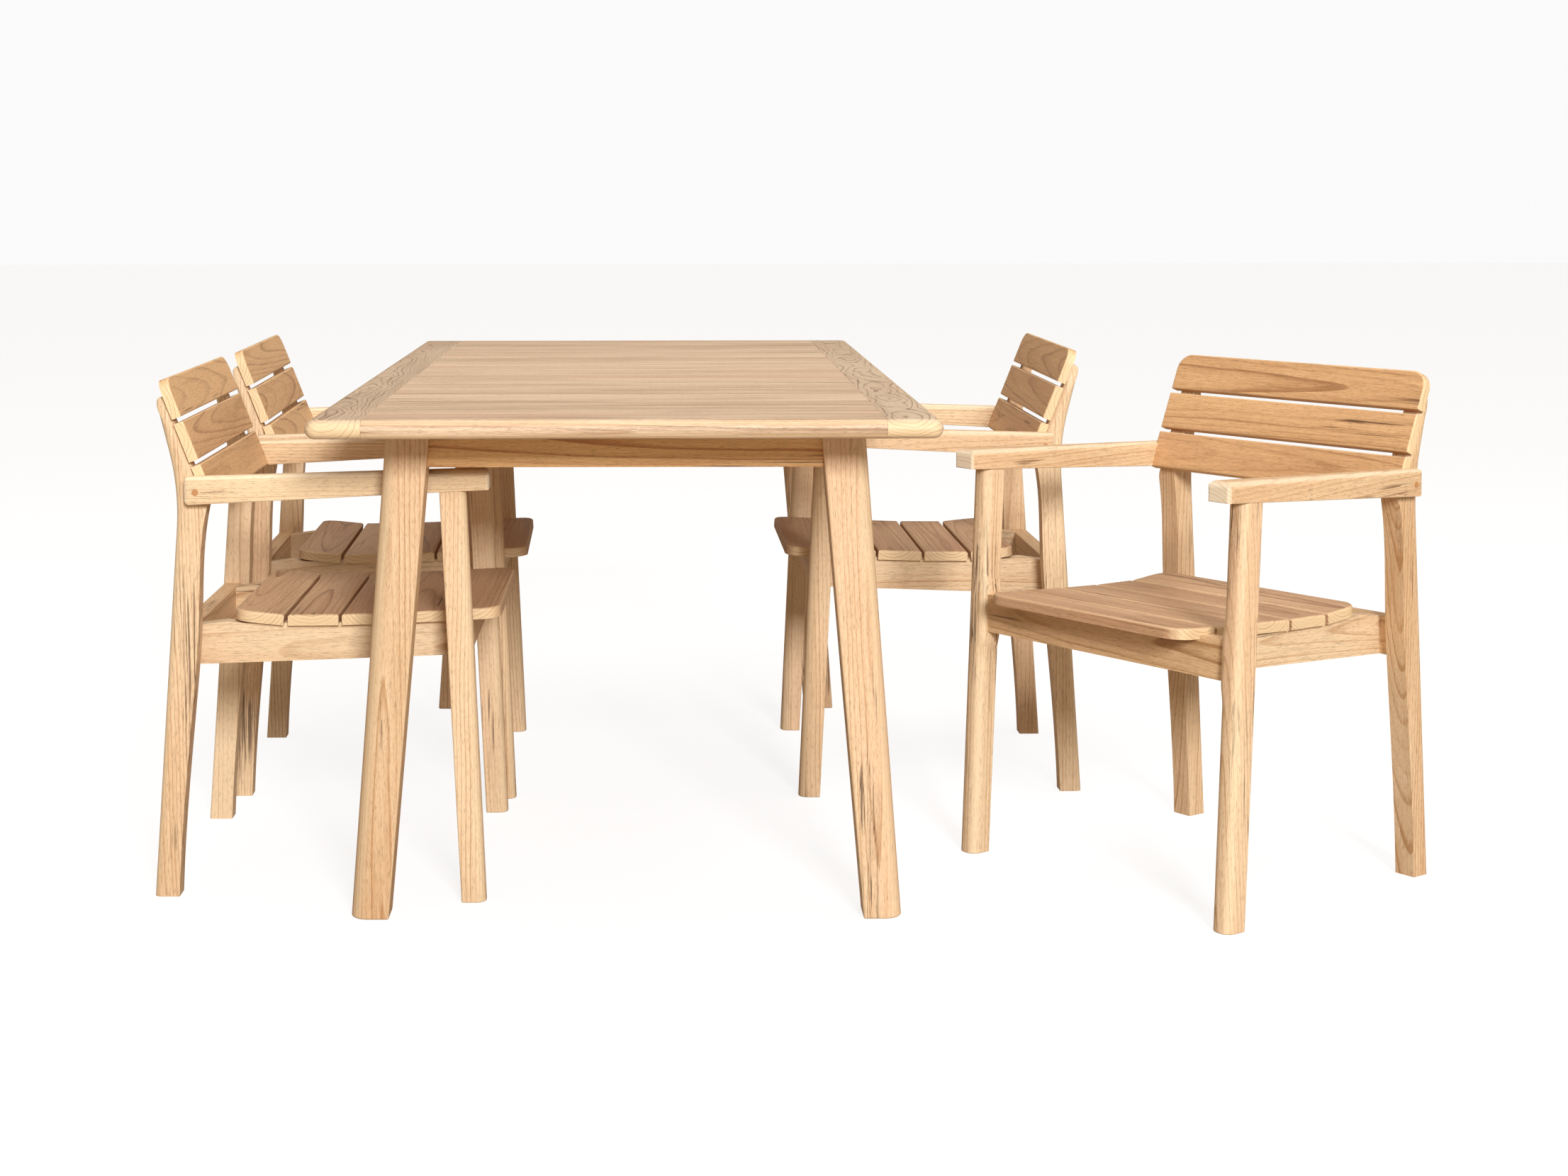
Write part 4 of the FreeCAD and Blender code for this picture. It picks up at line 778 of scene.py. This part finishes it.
@dataclass
class Chair:
    """One armchair, in its own frame: ahead is the way the sitter faces, aside the sitter's left.

    Attributes:
        name: The prefix of its nodes, which is its body's name.
        seed: A number that sets its wood.
        seat_back: Place of the seat's back edge from the middle of the feet.
        seat_pitch: Distance from seat slat to seat slat.
        seat_slats: How many seat slats there are.
        seat_gap: Gap between two seat slats.
        back_lean: Lean of the back from upright, in degrees.
        back_foot: Place ahead and height of the lower back corner of the lowest back slat.
        back_pitch: Distance from back slat to back slat.
        leg_aside: Distance of the legs from the chair's middle line.
        leg_ahead: Distance of the legs ahead of and behind the middle of the feet.
        rail_aside: Distance of the side rails from the middle line.
        ahead: The way the sitter faces.
        aside: The sitter's left.
        origin: The middle of the feet, on the floor.
    """

    name: str
    seed: float
    seat_back: float = -0.135
    seat_pitch: float = 0.0825
    seat_slats: int = 5
    seat_gap: float = 0.005
    back_lean: float = 21.5
    back_foot: tuple[float, float] = (-0.1658, 0.5975)
    back_pitch: float = 0.0695
    leg_aside: float = 0.250
    leg_ahead: float = 0.222
    rail_aside: float = 0.180
    ahead: Vector = field(init=False)
    aside: Vector = field(init=False)
    origin: Vector = field(init=False)

    def __post_init__(self) -> None:
        """Find which way the chair faces from its slide, and where it stands from its seat."""
        joints = frame["record"]["behaviour"]["joints"]
        slide = next(joint for joint in joints if joint["child"] == self.name)
        self.ahead = Vector(slide["axis"]).normalized()
        self.aside = UPRIGHT.cross(self.ahead)
        seat_middle = self.seat_back + (self.seat_slats * self.seat_pitch - self.seat_gap) / 2.0
        centre = middle(f"{self.name}_seat_slats")
        self.origin = Vector((centre.x, centre.y, 0.0)) - self.ahead * seat_middle

    def dress_legs(self) -> None:
        """Four legs, each a board of its own with its grain upright."""
        boards = BoardFrame(self.origin, UPRIGHT, self.aside, aside_across=self.leg_aside,
                            aside_through=self.leg_ahead, seed=self.seed)
        paint(self.name, Part.CHAIR_LEGS, HONEY, boards,
              ("front_leg_left", "front_leg_right", "rear_leg_left", "rear_leg_right"))

    def dress_arms(self) -> None:
        """Two arms with their grain along them."""
        arm = middle(f"{self.name}_armrest_left")
        boards = BoardFrame(Vector((self.origin.x, self.origin.y, arm.z)), self.ahead, self.aside,
                            aside_across=self.leg_aside, seed=self.seed)
        paint(self.name, Part.ARMS, ARM, boards, ("armrest_left", "armrest_right"))

    def dress_rails(self) -> None:
        """Front and back rail with their grain across the chair, side rails with theirs along it."""
        rail = middle(f"{self.name}_front_rail")
        low = Vector((self.origin.x, self.origin.y, rail.z))
        across = BoardFrame(low, self.aside, UPRIGHT, aside_through=self.leg_ahead, seed=self.seed)
        paint(self.name, Part.CROSS_RAILS, CROSS_RAIL, across, ("front_rail", "back_rail"))
        along = BoardFrame(low, self.ahead, UPRIGHT, aside_through=self.rail_aside, seed=self.seed)
        paint(self.name, Part.SIDE_RAILS, SIDE_RAIL, along, ("side_rails",))

    def dress_slats(self) -> None:
        """Seat slats numbered from the back, and back slats numbered up the sloping back."""
        seat = middle(f"{self.name}_seat_slats")
        seat_boards = BoardFrame(Vector((self.origin.x, self.origin.y, seat.z)), self.aside, self.ahead,
                                 start=self.seat_back - self.seat_gap / 2.0, pitch=self.seat_pitch,
                                 seed=self.seed)
        paint(self.name, Part.SEAT_SLATS, SEAT, seat_boards, ("seat_slats",))
        lean = math.radians(self.back_lean)
        up_back = UPRIGHT * math.cos(lean) - self.ahead * math.sin(lean)
        foot = self.origin + self.ahead * self.back_foot[0] + UPRIGHT * self.back_foot[1]
        back_boards = BoardFrame(foot, self.aside, up_back, pitch=self.back_pitch, seed=self.seed)
        paint(self.name, Part.BACK_SLATS, TAN, back_boards, ("back_slats",))

    def dress_dowels(self) -> None:
        """Dowels, of which only an end shows in each arm's outer face."""
        boards = BoardFrame(self.origin, self.aside, self.ahead, seed=self.seed)
        paint(self.name, Part.DOWELS, PLUG, boards, ("dowels",))

    def build(self) -> None:
        """Dress every piece of the chair."""
        self.dress_legs()
        self.dress_arms()
        self.dress_rails()
        self.dress_slats()
        self.dress_dowels()
        LOG.info("%s stands at %.3f, %.3f", self.name, self.origin.x, self.origin.y)


@dataclass
class Table:
    """The slatted table.

    Attributes:
        name: The prefix of its nodes, which is its body's name.
        boards: How many boards run across it, end boards included.
        side_width: Width of the boards along its sides.
        leg_aside: Distance of the legs from the middle, across the table.
        leg_ahead: Distance of the legs from the middle, along the table.
        seed: A number that sets its wood.
        origin: The middle of the side boards' box.
        length: Length of the top.
        width: Width of the top.
    """

    name: str = "table"
    boards: int = 17
    side_width: float = 0.080
    leg_aside: float = 0.350
    leg_ahead: float = 0.727
    seed: float = 400.0
    origin: Vector = field(init=False)
    length: float = field(init=False)
    width: float = field(init=False)

    def __post_init__(self) -> None:
        """Find the table's middle and size from its side boards."""
        low, high = (Vector(corner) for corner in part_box("table_side_boards"))
        self.origin = (low + high) / 2.0
        self.length = high.y - low.y
        self.width = high.x - low.x

    def dress_top(self) -> None:
        """Cross boards numbered from the near end, and one wild-grained board along each side."""
        slats = BoardFrame(self.origin, EAST, NORTH, start=-self.length / 2.0,
                           pitch=self.length / self.boards, seed=self.seed)
        paint(self.name, Part.CROSS_BOARDS, TOP, slats, ("top_slats", "end_boards"))
        sides = BoardFrame(self.origin, NORTH, EAST, aside_across=(self.width - self.side_width) / 2.0,
                           seed=self.seed)
        paint(self.name, Part.SIDE_BOARDS, TOP_SIDE, sides, ("side_boards",))

    def dress_legs(self) -> None:
        """Four raked legs with their grain upright."""
        foot = Vector((self.origin.x, self.origin.y, 0.0))
        legs = BoardFrame(foot, UPRIGHT, EAST, aside_across=self.leg_aside, aside_through=self.leg_ahead,
                          seed=self.seed)
        paint(self.name, Part.TABLE_LEGS, HONEY, legs,
              ("leg_near_left", "leg_near_right", "leg_far_left", "leg_far_right"))

    def dress_underframe(self) -> None:
        """Aprons, bearers and corner blocks."""
        low = Vector((self.origin.x, self.origin.y, middle("table_end_aprons").z))
        ends = BoardFrame(low, EAST, UPRIGHT, aside_through=self.leg_ahead, seed=self.seed)
        paint(self.name, Part.END_APRONS, FRAME_WOOD, ends, ("end_aprons", "corner_blocks"))
        sides = BoardFrame(low, NORTH, UPRIGHT, aside_through=self.leg_aside, seed=self.seed)
        paint(self.name, Part.SIDE_APRONS, FRAME_WOOD, sides, ("side_aprons", "slat_bearers"))

    def build(self) -> None:
        """Dress every piece of the table."""
        self.dress_top()
        self.dress_legs()
        self.dress_underframe()
        dress("table_fixings", Zinc().build())
        LOG.info("table is %.2f by %.2f m", self.length, self.width)


# ---------------------------------------------------------------- studio
@dataclass(frozen=True)
class Lamp:
    """A square soft lamp of white light.

    Attributes:
        name: The lamp's name.
        place: Where it hangs.
        size: Side of the square.
        power: Power in watts.
    """

    name: str
    place: tuple[float, float, float]
    size: float
    power: float

    def hang(self, aim: Vector) -> None:
        """Put the lamp in the scene.

        Args:
            aim: The point it looks at.
        """
        data = bpy.data.lights.new(self.name, "AREA")
        data.shape = "SQUARE"
        data.size = self.size
        data.energy = self.power
        data.color = WHITE
        lamp = bpy.data.objects.new(self.name, data)
        lamp.location = self.place
        lamp.rotation_mode = "QUATERNION"
        lamp.rotation_quaternion = (aim - Vector(self.place)).to_track_quat("-Z", "Y")
        bpy.context.scene.collection.objects.link(lamp)


@dataclass
class Studio:
    """A plain pale floor, soft lights and the camera.

    Attributes:
        floor_size: Side of the floor.
        floor_points: Points along each side of it.
        floor_bounce: Colour of the light that the floor throws back at the furniture.
        floor_glow: Brightness of the floor where no light falls.
        floor_shade: How much of the light that falls on the floor is seen on it.
        backdrop: Brightness behind the set.
        sky: Colour of the all-round light.
        camera_place: Where the camera stands, in the row frame.
        camera_turn: Turn of the view to the right, in degrees.
        camera_dip: Dip of the view below level, in degrees.
        camera_roll: Roll of the view, in degrees.
        lens: Focal length in millimetres.
        sensor: Width of the frame in millimetres.
        shift: Shift of the frame, in widths.
        lamps: The lamps: one large and far away in front, one broad and faint above.
        aim: The point that the lamps look at.
    """

    floor_size: float = 60.0
    floor_points: int = 3
    floor_bounce: Colour = (0.46, 0.39, 0.31)
    floor_glow: float = 0.845
    floor_shade: float = 0.24
    backdrop: float = 0.96
    sky: Colour = (0.42, 0.36, 0.295)
    camera_place: tuple[float, float, float] = (-0.2161, -4.3525, 1.0769)
    camera_turn: float = 0.184
    camera_dip: float = 2.555
    camera_roll: float = 0.071
    lens: float = 56.75
    sensor: float = 36.0
    shift: tuple[float, float] = (0.0747, -0.1858)
    lamps: tuple[Lamp, ...] = (Lamp("key", (2.0, -11.6, 4.9), 2.6, 1420.0),
                               Lamp("top", (0.3, 0.0, 4.4), 4.0, 85.0))
    aim: tuple[float, float, float] = (0.0, 0.0, 0.5)

    def lay_floor(self) -> None:
        """A flat grid: place (u, v) on the floor is (u, v, 0) times half the floor's size."""
        count = self.floor_points
        steps = np.linspace(-1.0, 1.0, count) * (self.floor_size / 2.0)
        across, along = np.meshgrid(steps, steps)
        places = np.stack([across.ravel(), along.ravel(), np.zeros(count * count)], axis=1)
        corner = np.arange(count * count).reshape(count, count)[:-1, :-1].ravel()
        faces = np.stack([corner, corner + 1, corner + count + 1, corner + count], axis=1)
        mesh = bpy.data.meshes.new("floor")
        mesh.from_pydata(places.tolist(), [], faces.tolist())
        floor = bpy.data.objects.new("floor", mesh)
        bpy.context.scene.collection.objects.link(floor)
        mesh.materials.append(self._floor_material())

    def _floor_material(self) -> bpy.types.Material:
        """A pale matt floor that glows, so that it stays pale far from the lamps.

        Returns:
            The material.
        """
        sheet = NodeSheet("pale floor")
        shade_colour = (self.floor_shade, self.floor_shade, self.floor_shade)
        bounce, shade = (sheet.node("ShaderNodeBsdfDiffuse", {}, {"Color": colour}).outputs[0]
                         for colour in (self.floor_bounce, shade_colour))
        glow = sheet.node("ShaderNodeEmission", {}, {"Strength": self.floor_glow}).outputs[0]
        seen = sheet.node("ShaderNodeAddShader", {}, {0: shade, 1: glow}).outputs[0]
        path = sheet.node("ShaderNodeLightPath", {}, {}).outputs["Is Camera Ray"]
        mixed = sheet.node("ShaderNodeMixShader", {}, {0: path, 1: bounce, 2: seen}).outputs[0]
        sheet.node("ShaderNodeOutputMaterial", {}, {"Surface": mixed})
        return sheet.material

    def light_sky(self) -> None:
        """Nearly white behind the set, and softer and warmer as the light that falls on it."""
        world = bpy.data.worlds.new("studio")
        world.use_nodes = True
        tree = world.node_tree
        tree.nodes.clear()
        path = tree.nodes.new("ShaderNodeLightPath")
        seen = tree.nodes.new("ShaderNodeBackground")
        seen.inputs["Strength"].default_value = self.backdrop
        seen.inputs["Color"].default_value = (*WHITE, 1.0)
        cast = tree.nodes.new("ShaderNodeBackground")
        cast.inputs["Strength"].default_value = 1.0
        cast.inputs["Color"].default_value = (*self.sky, 1.0)
        mix = tree.nodes.new("ShaderNodeMixShader")
        out = tree.nodes.new("ShaderNodeOutputWorld")
        tree.links.new(path.outputs["Is Camera Ray"], mix.inputs[0])
        tree.links.new(cast.outputs[0], mix.inputs[1])
        tree.links.new(seen.outputs[0], mix.inputs[2])
        tree.links.new(mix.outputs[0], out.inputs["Surface"])
        bpy.context.scene.world = world

    def stand_camera(self) -> None:
        """The camera, level but for a small dip, with its frame shifted to hold the whole set."""
        angles = (self.camera_turn, self.camera_dip, self.camera_roll)
        turn, dip, roll = (math.radians(angle) for angle in angles)
        look = Vector((math.sin(turn) * math.cos(dip), math.cos(turn) * math.cos(dip), -math.sin(dip)))
        right = Vector((math.cos(turn), -math.sin(turn), 0.0))
        down = look.cross(right)
        leaning_right = right * math.cos(roll) + down * math.sin(roll)
        leaning_down = down * math.cos(roll) - right * math.sin(roll)
        data = bpy.data.cameras.new("camera")
        data.lens = self.lens
        data.sensor_width = self.sensor
        data.shift_x, data.shift_y = self.shift
        camera = bpy.data.objects.new("camera", data)
        turned = Matrix((leaning_right, -leaning_down, -look)).transposed().to_4x4()
        camera.matrix_world = Matrix.Translation(Vector(self.camera_place)) @ turned
        bpy.context.scene.collection.objects.link(camera)
        bpy.context.scene.camera = camera

    def build(self) -> None:
        """Lay the floor, light the sky, hang the lamps and stand the camera."""
        self.lay_floor()
        self.light_sky()
        for lamp in self.lamps:
            lamp.hang(Vector(self.aim))
        self.stand_camera()
        bpy.context.scene.view_settings.view_transform = "Standard"
        LOG.info("studio is ready")


def main() -> None:
    """Dress the table and the four chairs, then set up the studio."""
    logging.basicConfig(level=logging.INFO, format="%(name)s: %(message)s")
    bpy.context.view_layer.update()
    Table().build()
    for seed, name in ((10.0, "near_left_chair"), (60.0, "far_left_chair"), (110.0, "far_right_chair"),
                       (160.0, "near_right_chair")):
        Chair(name, seed).build()
    Studio().build()


if __name__ == "__main__":
    main()
